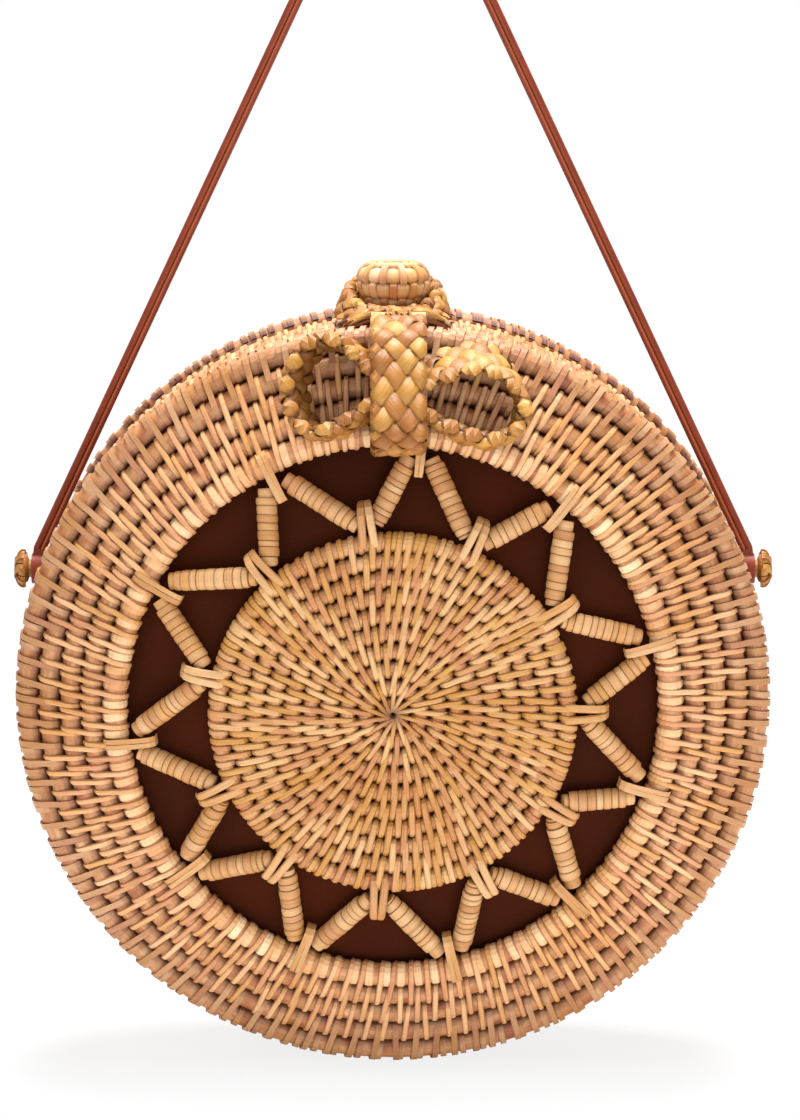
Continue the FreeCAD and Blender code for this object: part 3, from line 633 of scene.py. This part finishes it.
def wound_bar(weave, a, b):
    bar = new_weave()
    tones, acrosses, darks = marks(bar, "tone", "across", "dark")
    long = (b - a).length
    # Each point is (along, radius, tone, painted shade); the shade is deepest in the groove between two
    # turns.
    outline = [(0.0, 0.0, 0.5, 0.0), (0.0, 1.7, 0.5, 0.0)]
    s = 0.0
    lean = dice.uniform(0.06, 0.2)
    while s < long - 0.5:
        turn = min(dice.uniform(1.5, 2.7), long - s)
        tone = dice.random()
        swell = dice.uniform(2.72, 2.88) * min(1.0, 0.8 + 0.1 * min(s, long - s - turn))
        outline += [
            (s, swell - 0.36, tone, dice.uniform(0.25, 0.7)), (s + 0.16, swell - 0.08, tone, 0.1),
            (s + turn / 2, swell, tone, 0.0), (s + turn - 0.16, swell - 0.08, tone, 0.1),
        ]
        s += turn
    outline += [(long, 1.7, 0.5, 0.2), (long, 0.0, 0.5, 0.0)]
    verts = []
    for along, r, tone, dark in outline:
        vert = bar.verts.new((r, 0, along))
        vert[tones], vert[acrosses], vert[darks] = tone, along, dark
        verts.append(vert)
    edges = [bar.edges.new(pair) for pair in zip(verts, verts[1:])]
    spin(bar, verts + edges, (0, 0, 1), 14, use_merge=True)
    bmesh.ops.remove_doubles(bar, verts=bar.verts, dist=0.001)
    aim = Matrix.Translation(a) @ (b - a).to_track_quat("Z", "Y").to_matrix().to_4x4()
    for vert in bar.verts:
        inside = min(1.0, max(0.0, min(vert.co.z, long - vert.co.z) / 2))
        vert.co.z += lean * vert.co.x * inside
        vert.co = aim @ vert.co
    join(weave, bar)


def star(side):
    weave = new_weave()
    for k, angle in enumerate(OUTER):
        after = INNER[k + 1] if k + 1 < len(INNER) else INNER[0] - 360
        for inner in (INNER[k], after):
            hand = 1 if inner > angle else -1
            a = on_face(RING_END_R, angle, RING_END_ASIDE * hand, RING_END_Y)
            b = on_face(DISC_END_R, inner, -DISC_END_ASIDE * hand, DISC_END_Y)
            wound_bar(weave, a, b)
    add_half(side, "star_windings", weave, [heart_cane], "star_bars")


for side in SIDES:
    star(side)

# %% [markdown]
# Each point of the star is tied twice over: a pair of strips comes over the ring's last
# coil and down between the bars, and a wider pair goes from the corner onto the disc.

# %% Lashings
TIE_ON_RING = ((-2.9, 1.2), (-2.2, 3.0), (-0.9, 3.9), (0.8, 4.0))
TIE_OFF_RING = ((68.3, -36.15), (66.3, -36.4), (64.3, -36.3), (63.1, -35.5), (62.7, -33.8), (62.7, -31.8))
TIE_ON_DISC = (
    (56.4, -34.2), (56.2, -36.6), (55.4, -38.6), (53.6, -39.75), (51, -40.05), (48.6, -39.95), (46.6, -39.7),
    (45.2, -39.2), (44.4, -38.2),
)
TIE_THICK = 0.6


def lashings(side, name, node, profile, angles, aside, spread, slack, wide):
    """A pair of strips at each angle, which spread or close along their way."""
    weave = new_weave()
    for angle in angles:
        across = on_face(0, angle, 1, 0)
        for hand in (-1, 1):
            drift = (hand * spread + dice.gauss(0, slack)) / (len(profile) - 1)
            route = [on_face(r, angle, hand * aside + drift * k, y) for k, (r, y) in enumerate(profile)]
            strip(weave, route, across, Vector((0, -1, 0)), wide, TIE_THICK, dice.random())
    add_half(side, name, weave, [heart_cane], node)


over_ring = [on_ring(RING_LAST + s, h) for s, h in TIE_ON_RING] + list(TIE_OFF_RING)
for side in SIDES:
    lashings(side, "ring_ties", "outer_lashings", over_ring, OUTER, 0.8, -0.3, 0.12, 1.3)
    lashings(side, "disc_ties", "inner_lashings", TIE_ON_DISC, INNER, 0.75, 1.0, 0.25, 2.1)

# %% [markdown]
# Dark cloth lines both halves: a round panel behind the face and a band round the wall.
# Both are sheets held by their stitched edges, so each is one spun surface, the panel with
# a slight ripple, made thick by a modifier.

# %% Linings


def lining(side, name, node, outline, ripple):
    weave = new_weave()
    verts = [weave.verts.new((0, y, r)) for r, y in outline]
    edges = [weave.edges.new(pair) for pair in zip(verts, verts[1:])]
    spin(weave, verts + edges, (0, 1, 0), 120, use_merge=True)
    bmesh.ops.remove_doubles(weave, verts=weave.verts, dist=0.001)
    for vert in weave.verts:
        r, turn = hypot(vert.co.x, vert.co.z), atan2(vert.co.z, vert.co.x)
        vert.co.y += ripple * sin(turn * 9 + r * 0.11) * min(1.0, r / 60) * (1 if r < 88 else 0)
    sheet = add_half(side, name, weave, [cloth], node)
    thick = sheet.modifiers.new("cloth thickness", "SOLIDIFY")
    thick.thickness = 0.0005
    thick.offset = 0


PANEL = (
    (0, -33.4), (16, -33.4), (32, -33.4), (48, -33.3), (56, -31.3), (64, -29.2), (72.2, -26.9), (80, -23.7),
    (86, -21.2), (91.2, -19.0),
)
WALL_BAND = ((91.2, -18.1), (91.2, -12), (91.2, -6), (91.2, -1.2))
for side in SIDES:
    lining(side, "panel_cloth", "lining_panel", PANEL, 0.3)
    lining(side, "band_cloth", "lining_strip", WALL_BAND, 0.0)

# %% [markdown]
# The strap is a taut lace over a hook that the photograph doesn't show. Its line is a
# NURBS spline through the same route as its solid, and points are read from that spline.

# %% Strap
LEAN, HOOK_R, LACE_WIDE = radians(25.5), 6.0, 3.4
foot = Vector((95.558, 5.9, 35.6))
lace_up = Vector((-sin(LEAN), 0, cos(LEAN)))
lace_arc = HOOK_R + LACE_WIDE / 2
run = (foot.x - lace_arc * cos(LEAN)) / sin(LEAN)
leave = foot + lace_up * run
half_turn = (pi / 2 - LEAN) / 2
corner = leave + lace_up * lace_arc * tan(half_turn)
before = leave - lace_up * 6 * LACE_WIDE
flip = Matrix.Diagonal((-1, 1, 1))
knots = [foot, before, corner, flip @ corner, flip @ before, flip @ foot]
line = bpy.data.curves.new("lace_line", "CURVE")
line.dimensions = "3D"
spline = line.splines.new("NURBS")
spline.points.add(len(knots) - 1)
for point, knot in zip(spline.points, knots):
    point.co = (*knot, 1)
spline.order_u = 3
spline.use_endpoint_u = True
line.resolution_u = 24
guide = bpy.data.objects.new("lace_line", line)
scene.collection.objects.link(guide)
bpy.context.view_layer.update()
read = bpy.data.meshes.new_from_object(guide.evaluated_get(bpy.context.evaluated_depsgraph_get()))
lace = [v.co.copy() for v in read.vertices]
bpy.data.objects.remove(guide)
print("lace points", len(lace), "length", round(sum((q - p).length for p, q in zip(lace, lace[1:])), 1))

# %% [markdown]
# The lace's section is lofted through those points. It has a groove down the front, where
# the rolled edges meet, and the ridges beside the groove carry a painted highlight.

# %% Strap tube
LACE_SECTION = (
    (-1.7, -0.3), (-1.5, -0.95), (-0.85, -1.3), (-0.25, -1.22), (0.05, -0.55), (0.35, -1.2), (0.95, -1.25),
    (1.52, -0.85), (1.7, 0.1), (1.35, 1.05), (0.0, 1.3), (-1.35, 1.05),
)
weave = new_weave()
sections = []
for k, point in enumerate(lace):
    way = (lace[min(k + 1, len(lace) - 1)] - lace[max(k - 1, 0)]).normalized()
    across = Vector((0, 1, 0)).cross(way).normalized()
    sections.append([point - across * x + Vector((0, y, 0)) for x, y in LACE_SECTION])
loft(weave, sections)
wear_and_highlight, = marks(weave, "dark")
weave.verts.ensure_lookup_table()
# Painted highlight on the two ridges beside the groove.
for k in range(len(lace)):
    for ridge, share in ((3, 0.2), (5, 0.55)):
        weave.verts[k * len(LACE_SECTION) + ridge][wear_and_highlight] = share
strap = add_piece("strap_lace", weave, [leather], "strap", ["strap_cord"], sharp=70)
[in_frame(*p) for p in lace]

# %% [markdown]
# The bow, its band and the loop over the knob are flat plaits: two sets of straws cross
# at right angles, each over one and under one. On any surface with a way along, `u`, and
# a way across, `v`, one set climbs to the right and the other to the left, and a cosine
# carries them over and under each other.

# %% Plaits
STRAW_SECTION = ((-0.5, -0.6), (-0.36, 0.2), (0, 0.5), (0.36, 0.2), (0.5, -0.6))
DIAGONAL = sqrt(2)


def plait(weave, surface, long, broad, wide, lift, swing=0.6, thick=0.75, closed=True, shade_from=1e6):
    """Covers a surface(u, v, height) with two sets of straws, with painted shade where a straw goes under,
    along its edges and from some v on.
    """
    darks, = marks(weave, "dark")
    count = max(3, round(long / (wide * 1.42)))
    step = long / count
    reach = broad * DIAGONAL
    stations = max(6, round(reach / 0.6))
    crossings = int(broad / step) + 2
    extra = 0 if closed else ceil(broad / step)
    for hand in (1, -1):
        first, end = (-extra, count + 1) if hand > 0 else (0, count + 1 + extra)
        for k in range(first, end - closed):
            tone, loose = dice.random(), dice.gauss(0, 0.15)
            puffs = [dice.uniform(-0.1, 0.45) for _ in range(crossings)]
            tilts = [dice.gauss(0, 0.45) for _ in range(crossings)]
            sections, sunk = [], []
            for j in range(stations + 1):
                s = reach * j / stations
                at = s / DIAGONAL / step
                if not closed and not 0 <= k * step + hand * at * step <= long:
                    continue
                wave = hand * cos(2 * pi * at)
                n, top = int(at + (0.5 if hand > 0 else 0.0)), max(0.0, wave)
                row = []
                for b, h in STRAW_SECTION:
                    h = h * thick + top * (puffs[n] + tilts[n] * b)
                    b *= wide * 0.95
                    u = k * step + loose + hand * (s + b) / DIAGONAL
                    v = min(broad, max(0, (s - b) / DIAGONAL))
                    row.append(surface(u, v, lift + swing * wave + h))
                sections.append(row)
                # Painted shade where a straw dives under the other set and beyond `shade_from`; its edges get
                # more below.
                sunk.append(max(0.0, -wave) * 0.75 + (0.5 if at * step > shade_from else 0.0))
            for j, vert in enumerate(loft(weave, sections, tone) if len(sections) > 1 else []):
                vert[darks] = min(1.0, sunk[j // 5] + (0.45 if j % 5 in (0, 4) else 0.0))
    return count


# %% [markdown]
# Outlines are given by a few points. A cubic between each two of them, which heeds the
# points before and after, makes a smooth curve, open or closed.

# %% Curves and tables


def cubic(a, b, c, d, f):
    squared, cubed = 2 * a - 5 * b + 4 * c - d, 3 * b - a - 3 * c + d
    return 0.5 * (2 * b + (c - a) * f + squared * f ** 2 + cubed * f ** 3)


def closed_curve(points, share):
    x = (share % 1.0) * len(points)
    k = int(x)
    return cubic(*(points[(k + j - 1) % len(points)] for j in range(4)), x - k)


def open_curve(points, share):
    last = len(points) - 1
    x = min(max(share, 0.0), 1.0) * last
    k = min(int(x), last - 1)
    return cubic(*(points[min(max(k + j - 1, 0), last)] for j in range(4)), x - k)


def read_table(table, x):
    """Values of a table at x, straight between its rows."""
    k = max(j for j in range(len(table) - 1) if table[j][0] <= max(x, table[0][0]))
    (low, *a), (high, *b) = table[k:k + 2]
    f = (x - low) / (high - low)
    return [p + (q - p) * f for p, q in zip(a, b)]


def over_rim(v, tall, rim, up, squash=1.0):
    """Way out and way up of a `v` that climbs one side, turns over a rim and goes down again."""
    turn = (v - tall) / rim
    if turn < 0:
        return rim + up, v * squash
    if turn < pi:
        return (rim + up) * cos(turn), tall * squash + (rim + up) * sin(turn)
    return -rim - up, (tall - (turn - pi) * rim) * squash


# %% [markdown]
# Each loop of the bow is a ribbon bent to a closed outline. Its plait runs up the outside,
# turns over the front rim and goes down the inside, so `v` follows that U. The left loop
# looks up and aside, the right one spreads towards the ring, and both draw together where
# the band ties them.

# %% Bow loops
BOW_X, BOW_SPAN, BOW_DEEP, BOW_GAP = 1.5, 35.0, 12.0, 1.6
BOW_Y, BOW_Z = (-28.61, 0.3907), (86.02, 0.9205)
LOOP_RIM, LOOP_DEEP, LOOP_FOOT, LOOP_STEPS = 0.9, 10.6, 0.5, 240
LEFT_LOOP = (
    (0.0, -0.06), (-0.05, 0.04), (-0.15, 0.13), (-0.28, 0.26), (-0.43, 0.31), (-0.59, 0.24), (-0.7, 0.0),
    (-0.68, -0.22), (-0.56, -0.39), (-0.38, -0.37), (-0.19, -0.26), (-0.05, -0.15),
)
RIGHT_LOOP = (
    (0.0, -0.06), (0.05, 0.02), (0.17, 0.08), (0.34, 0.155), (0.56, 0.178), (0.74, 0.07), (0.84, -0.1),
    (0.81, -0.24), (0.67, -0.335), (0.48, -0.325), (0.3, -0.26), (0.15, -0.18), (0.05, -0.13),
)


def on_bow(x, s, h, droop):
    """Place at a way s up the ring's slope and a height h off it."""
    turn = radians(droop)
    y, z = BOW_Y[0] + BOW_Y[1] * s, BOW_Z[0] + BOW_Z[1] * s
    return Vector((x, y - cos(turn) * h, z - sin(turn) * h))


def bow_loop(name, shares, hand, root, lean, droop):
    root_x = BOW_X + BOW_GAP * hand
    points = [Vector((root_x + BOW_SPAN * a, BOW_SPAN * b)) for a, b in shares]
    tip = points[0]
    walk = [closed_curve(points, k / LOOP_STEPS) for k in range(LOOP_STEPS + 1)]
    length = [0.0]
    for a, b in zip(walk, walk[1:]):
        length.append(length[-1] + (b - a).length)
    total = length[-1]

    def outline(u):
        u %= total
        k = min(bisect.bisect_right(length, u) - 1, LOOP_STEPS - 1)
        f = (u - length[k]) / (length[k + 1] - length[k])
        way = walk[(k + 1) % LOOP_STEPS] - walk[k]
        return walk[k].lerp(walk[k + 1], f), Vector((way.y, -way.x)).normalized() * -hand

    def surface(u, v, up):
        aside, h = over_rim(v, LOOP_DEEP, LOOP_RIM, up)
        h = max(LOOP_FOOT + h, 0.4)
        p, n = outline(u)
        far = p - tip
        wide, tall = (share + (1 - share) * h / BOW_DEEP for share in root)
        q = tip + Vector((far.x * wide, far.y * tall)) + n * aside
        return on_bow(q.x + lean * h, q.y, h, droop)

    weave = new_weave()
    inside = LOOP_DEEP + pi * LOOP_RIM
    rows = (0, LOOP_DEEP, inside, LOOP_DEEP + inside)
    core = [[surface(total * k / 72, v, -0.4) for v in rows] for k in range(72)]
    # The core takes the second finish, painted shade in the plait's gaps.
    loft(weave, core, 0.1, closed=True, finish=1)
    count = plait(weave, surface, total, inside + LOOP_DEEP * 0.9, 4.3, 0.2, shade_from=inside)
    print(name, "is", round(total), "mm round, with", 2 * count, "straws")
    add_piece(name + "_plait", weave, [straw, straw_gap_shade], "front_half", [name])


bow_loop("bow_left_loop", LEFT_LOOP, -1, (0.9, 0.95), -0.22, -14)
bow_loop("bow_right_loop", RIGHT_LOOP, 1, (1.0, 1.4), 0.12, 4)

# %% [markdown]
# The band arches over the middle of the bow. Its plait is about three cells wide, and its
# edges are folded, so the straws dip at both sides. At its rear end a slot leaves room for
# the neck of the loop that goes over the knob.

# %% Bow band
BAND = (
    (0.494, 0.075), (0.52, 0.4), (0.46, 0.8), (0.3, 0.96), (0.05, 1.0),
    (-0.2, 1.0), (-0.37, 0.82), (-0.455, 0.45), (-0.47, 0.09),
)
BAND_LONG, BAND_WIDE, BAND_RISE, BAND_DROOP, BAND_FLAT = 58.0, 14.6, 15.4, 5, 6.0
BAND_BASE = ((0.7, -1.4), (0.7, 0.0), (13.9, 0.0), (13.9, -1.4))
SLOT_LONG, SLOT_DEEP, SLOT_HALF, SLOT_SIDE = 8, 1.8, 4.8, 1.2
arch = [Vector((BOW_SPAN * a, BAND_RISE * b)) for a, b in BAND]


def on_band(u, v, up):
    u = min(max(u, 0), BAND_LONG)
    share = u / BAND_LONG
    p = open_curve(arch, share)
    way = open_curve(arch, share + 0.01) - open_curve(arch, share - 0.01)
    n = Vector((way.y, -way.x)).normalized()
    x = v - BAND_WIDE / 2
    edge = max(0.0, abs(x) - BAND_FLAT)
    slot = SLOT_DEEP * max(0.0, 1 - u / SLOT_LONG) * min(1.0, max(0.0, (SLOT_HALF - abs(x)) / SLOT_SIDE))
    q = p + n * (up + 0.3 - edge * edge * 0.9 - slot)
    return on_bow(BOW_X + x, q.x, q.y, BAND_DROOP)


weave = new_weave()
places = [SLOT_LONG + (BAND_LONG - SLOT_LONG) * k / 34 for k in range(35)]
# The base takes the second finish, painted shade in the plait's gaps.
loft(weave, [[on_band(u, v, up) for v, up in BAND_BASE] for u in places], 0.1, finish=1)
plait(weave, on_band, BAND_LONG, BAND_WIDE, 4.6, 0.35, swing=0.7, closed=False)
add_piece("bow_band_plait", weave, [straw, straw_gap_shade], "front_half", ["bow_band"])

# %% [markdown]
# The loop round the knob is the same plait, closed to a soft collar that is wider at its
# foot and slopes down in front.

# %% Closure collar
COLLAR_MID, COLLAR_X, COLLAR_Y = Vector((0, 6.4, 100.5)), 12.0, 13.0
COLLAR_LONG, COLLAR_TALL, COLLAR_RIM = 90.0, 7.4, 0.95
COLLAR_LOW, COLLAR_SLOPE = 4.4, radians(16)
FLARE_OUT, FLARE_DROP = 2.4, 2.3


def on_collar(u, v, up):
    a = 2 * pi * u / COLLAR_LONG
    way = Vector((cos(a) * COLLAR_Y, sin(a) * COLLAR_X, 0)).normalized()
    tall = min(1.0, (COLLAR_LOW + COLLAR_Y * sin(a) * tan(COLLAR_SLOPE)) / COLLAR_TALL)
    out, h = over_rim(v, COLLAR_TALL, COLLAR_RIM, up, tall)
    flare = max(0.0, 1 - v / COLLAR_TALL)
    out, h = out + FLARE_OUT * flare, h - FLARE_DROP * flare * (1 - abs(sin(a)))
    return COLLAR_MID + Vector((COLLAR_X * cos(a), COLLAR_Y * sin(a), h)) + way * out


weave = new_weave()
around = COLLAR_TALL * 2 + pi * COLLAR_RIM
rows = (0, COLLAR_TALL, around - COLLAR_TALL, around)
core = [[on_collar(COLLAR_LONG * k / 64, v, -0.4) for v in rows] for k in range(64)]
# The core takes the second finish, painted shade in the plait's gaps.
loft(weave, core, 0.2, closed=True, finish=1)
plait(weave, on_collar, COLLAR_LONG, around * 0.97, 4.4, 0.1)

# %% [markdown]
# A cape of the same plait runs from the collar to the pin in the band. It is narrow in the
# band's slot and then spreads, and its sides hang down. Each row of `CAPE` is a place along
# Y, half the width there, and the height.

# %% Closure cape
CAPE = (
    (-24.6, 3.6, 102.7), (-22.5, 3.6, 103.3), (-18.4, 3.7, 102.8), (-17.4, 7.6, 102.3), (-15.6, 12.4, 102.2),
    (-12.0, 14.2, 102.2), (-3.6, 13.6, 102.0),
)
CAPE_LONG, CAPE_WIDE, CAPE_DROP = 21.0, 26.0, 3.6


def on_cape(u, v, up):
    y = CAPE[0][0] + min(max(u, 0), CAPE_LONG)
    half, z = read_table(CAPE, y)
    x = (v / CAPE_WIDE * 2 - 1) * half
    edge = max(0.0, abs(x) - 6.5) / 7.5
    return Vector((x + BOW_X * min(1.0, -y / 16), y, z + up - CAPE_DROP * edge ** 1.4))


across = [CAPE_WIDE * (0.03 + 0.94 * (k / 8)) for k in range(9)]
edging = [(v, -0.3) for v in across] + [(v, -1.6) for v in reversed(across)]
flat = [[on_cape(CAPE_LONG * k / 23, v, up) for v, up in edging] for k in range(24)]
# The cape's base takes the second finish, painted shade in the plait's gaps.
loft(weave, flat, 0.2, finish=1)
plait(weave, on_cape, CAPE_LONG, CAPE_WIDE, 4.0, 0.1, swing=0.45, closed=False)
add_piece("closure_plait", weave, [straw, straw_gap_shade], "closure", ["closure_loop"])

# %% [markdown]
# The knob is a little basket over its peg. A core in painted shade has the outline of the
# solid. Flat rows go round it, and upright strips pass over one row and under the next,
# with painted shade where they go under and between the rows.

# %% Knob
KNOB_Y, KNOB_FOOT = 5.9, 98.4
KNOB_SIDE = (
    (0.0, 4.7), (2.4, 5.7), (5.2, 7.8), (7.6, 9.1), (9.7, 9.4), (12.2, 9.1), (14.1, 7.7), (14.9, 4.0),
)
KNOB_ROWS = ((0.0, 1.7), (1.9, 5.9), (6.1, 10.1), (10.3, 14.3))
KNOB_HIGH = Vector((0, 0, 1))
UPRIGHTS, TOP_RINGS = 20, 3


def knob_radius(h):
    return read_table(KNOB_SIDE, min(h, KNOB_SIDE[-1][0]))[0]


def spun(outline, tone, dark):
    """Closed outline of (radius, height) spun about the knob's axis."""
    turned = new_weave()
    tones, darks = marks(turned, "tone", "dark")
    verts = [turned.verts.new((r, 0, h)) for r, h in outline]
    edges = [turned.edges.new(pair) for pair in zip(verts, verts[1:] + verts[:1])]
    for vert in verts:
        vert[tones], vert[darks] = tone, dark
    spin(turned, verts + edges, (0, 0, 1), 120, use_merge=True)
    return turned


def knob_row(k, low, high):
    """One row. It swells where it covers an upright and sinks under the next one, with painted shade where it
    sinks and at its edges.
    """
    heights = [low + (high - low) * j / 5 for j in range(6)]
    outside = [(knob_radius(h) - (0.5 if j in (0, 5) else 0.0), h) for j, h in enumerate(heights)]
    row = spun(outside + [(r - 0.9, h) for r, h in reversed(outside)], 0.5, 0.0)
    tones, darks = marks(row, "tone", "dark")
    bricks = [dice.random() for _ in range(UPRIGHTS)]
    for vert in row.verts:
        turn = atan2(vert.co.y, vert.co.x) % (2 * pi)
        swell = cos(turn * UPRIGHTS / 2) * (-1 if k % 2 else 1)
        edge = abs(2 * (vert.co.z - low) / (high - low) - 1) > 0.95
        vert[tones] = bricks[int(turn * UPRIGHTS / 4 / pi + (0.0 if k % 2 else 0.5)) % UPRIGHTS]
        # Painted shade where the row sinks under an upright and at its edges.
        vert[darks] = min(1.0, max(0.0, 0.1 - swell) * 0.6 + (0.55 if edge else 0.0))
        vert.co.xy *= 1 + 0.4 * swell / max(3.0, vert.co.xy.length)
    return row


def upright(k, turn):
    """Route of one strip up the side of the knob and over its shoulder."""
    out = Vector((cos(turn), sin(turn), 0))
    route = [out * 3.8 + KNOB_HIGH * 0.1]
    for j, (low, high) in enumerate(KNOB_ROWS):
        over = 0.2 if (j + k) % 2 else -0.8
        for h in (low + 0.4, (low + high) / 2, high - 0.4):
            route.append(out * (knob_radius(h) + over) + KNOB_HIGH * h)
    route += [out * 6.6 + KNOB_HIGH * 14.7, out * 4.8 + KNOB_HIGH * 14.2]
    return out, [open_curve(route, s / 44) for s in range(45)]


def knob_weave():
    weave = new_weave()
    # The core is in painted shade almost all over.
    join(weave, spun([(0.05, 0)] + [(r - 1.2, h) for h, r in KNOB_SIDE] + [(0.05, 14.6)], 0.2, 0.9))
    for k, (low, high) in enumerate(KNOB_ROWS):
        join(weave, knob_row(k, low, high))
    darks, = marks(weave, "dark")
    for k in range(UPRIGHTS):
        out, route = upright(k, 2 * pi * (k + dice.gauss(0, 0.05)) / UPRIGHTS)
        # Painted shade on the parts of each strip that pass under a row.
        for vert in strip(weave, route, KNOB_HIGH.cross(out), out, 2.1, 0.6, dice.random(), 1):
            vert[darks] = 0.0 if vert.co.xy.length > knob_radius(vert.co.z) - 0.35 else 0.6
    # The top rings get a little painted shade.
    for j in range(TOP_RINGS):
        mid = 5.2 - 1.9 * j
        ring = [(mid + 1.05 * cos(a), 14.25 + 0.75 * sin(a)) for a in (0, 1, 2, 3.14, 4.2, 5.2)]
        join(weave, spun(ring, 0.3 + 0.2 * j, 0.15))
    bmesh.ops.translate(weave, vec=(0, KNOB_Y, KNOB_FOOT), verts=weave.verts)
    print("knob uprights", UPRIGHTS, "rows", len(KNOB_ROWS))
    return weave


add_piece("knob_basket", knob_weave(), [pale_cane, peel_cane], "back_half", ["knob_head"])

# %% [markdown]
# The studs at the sides are small straw knots. Four pairs of straws cross over a soft
# core, and a neck with a stop behind it goes through the wall.

# %% Studs
STUD_AT = (99.9, 5.9, 30.0)


def hoop(x, radius, count):
    turns = [2 * pi * j / count for j in range(count)]
    return [Vector((x, radius * cos(a), radius * sin(a))) for a in turns]


def stud(name, hand):
    weave = new_weave()
    bmesh.ops.create_icosphere(weave, subdivisions=2, radius=1, matrix=Matrix.Diagonal((1.7, 4.2, 4.2, 1)))
    for k in range(4):
        turn = pi * k / 4 + 0.3
        way = Vector((0, cos(turn), sin(turn)))
        side = Vector((0, -sin(turn), cos(turn)))
        for shift in (-1.3, 1.3):
            route = []
            for j in range(15):
                a = pi * (j / 14 - 0.5) * 1.15
                bulge = Vector((2.0 * cos(a) + 0.15 * k, 0, 0))
                route.append(way * 4.4 * sin(a) + side * shift + bulge)
            strip(weave, route, side, Vector((1, 0, 0)), 2.3, 0.5, dice.random())
    loft(weave, [hoop(-17.2, 2.4, 10), hoop(-0.5, 2.4, 10)], 0.3)
    loft(weave, [hoop(-17.3, 4.3, 16), hoop(-15.8, 4.3, 16)], 0.3)
    bmesh.ops.translate(weave, vec=STUD_AT, verts=weave.verts)
    if hand < 0:
        bmesh.ops.scale(weave, vec=(-1, 1, 1), verts=weave.verts)
    add_piece(name + "_knot", weave, [straw], "back_half", [name])


stud("strap_stud_right", 1)
stud("strap_stud_left", -1)

# %% [markdown]
# The small rigid pieces keep their solids and only get a finish: pins and the hinge in
# cane, the strap's ends in leather.

# %% Finishes on solids
plain_cane = cane("plain_cane", ("C8935C", "CF9C64"), "6A3A1C", "C48E4C", rod=True)
KEPT = (
    (plain_cane, ("hinge_cane", "hinge_front_loops", "hinge_back_loops", "knob_stem", "bow_pin")),
    (leather, ("strap_eye_left", "strap_eye_right")),
)
for finish, kept in KEPT:
    for node in kept:
        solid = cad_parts[node]
        solid.data.materials.clear()
        solid.data.materials.append(finish)
print("solids kept:", [n for n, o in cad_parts.items() if not o.hide_render])

# %% [markdown]
# The studio is a plain pale floor just under the bag. It takes the bag's soft shadow, but
# it lets most of the view through, and all of it far off and in front of the bag, because
# the front half swings down through its level when the bag opens.

# %% Floor
FLOOR_Z, FLOOR_SIZE = -105.2, 3.0
CLEAR = (0.8, 1.0)

floor_mesh = bmesh.new()
level = Matrix.Translation((0, 0, in_frame(0, 0, FLOOR_Z).z))
bmesh.ops.create_grid(floor_mesh, x_segments=1, y_segments=1, size=FLOOR_SIZE, matrix=level)
floor_data = bpy.data.meshes.new("floor")
floor_mesh.to_mesh(floor_data)
floor_mesh.free()
floor = bpy.data.objects.new("floor", floor_data)
scene.collection.objects.link(floor)

# %% [markdown]
# Its paper fades into a clear shader for rays from the camera. Rays that look for a lamp
# pass through it.

# %% Floor paper
paper = Finish("floor_paper")
paper.set(Base_Color=(0.9, 0.9, 0.9, 1), Roughness=0.9)

seen = paper.node("ShaderNodeLightPath", output="Is Camera Ray")
crossed = paper.node("ShaderNodeLightPath", output="Is Shadow Ray")
clear = paper.node("ShaderNodeBsdfTransparent")
plain = Value(paper, paper.shader.outputs[0])
place = paper.place()
away = paper.node("ShaderNodeVectorMath", {"operation": "LENGTH"}, {0: place}, output="Value")
behind = paper.node("ShaderNodeSeparateXYZ", sockets={0: place}, output=1)
fade = away.ramp(0.3, 0.55, *CLEAR).math("MAXIMUM", behind.ramp(0.0, -0.06, *CLEAR))
mixed = paper.node("ShaderNodeMixShader", sockets={0: seen * fade + crossed, 1: plain, 2: clear})
paper.put(paper.tree.nodes["Material Output"].inputs["Surface"], mixed)
floor_data.materials.append(paper.material)

# %% [markdown]
# The surround is pure white to the camera and in reflections. To all other rays it is
# weaker, so that the crevices of the weave stay dark.

# %% Surround
SURROUND_SOFT = 0.36

world = bpy.data.worlds.new("surround")
scene.world = world
world.use_nodes = True
sky = Nodes(world.node_tree)
background = sky.tree.nodes["Background"].inputs
sky.put(background["Color"], (1, 1, 1, 1))
seen, mirrored, passed = (
    sky.node("ShaderNodeLightPath", output=f"Is {ray} Ray") for ray in ("Camera", "Glossy", "Transmission")
)
white = seen.math("MAXIMUM", mirrored).math("MAXIMUM", passed)
sky.put(background["Strength"], white.ramp(0.0, 1.0, SURROUND_SOFT, 1.0))

# %% [markdown]
# Three soft lamps look at the bag: one from the upper left in front, one from below in
# front, and a strong one above that bleaches the upper edge, as in the photograph.

# %% Lamps


def lamp(name, at, size, power):
    data = bpy.data.lights.new(name, "AREA")
    data.size, data.energy = size, power
    made = bpy.data.objects.new(name, data)
    scene.collection.objects.link(made)
    made.location = at
    made.rotation_euler = (in_frame(0, 0, 0) - Vector(at)).to_track_quat("-Z", "Y").to_euler()


lamp("key", (-0.5, -0.95, 0.6), 0.7, 3.5)
lamp("fill", (0.2, -0.9, -0.35), 0.7, 4.8)
lamp("top", (0.05, 0.12, 0.85), 0.5, 30)
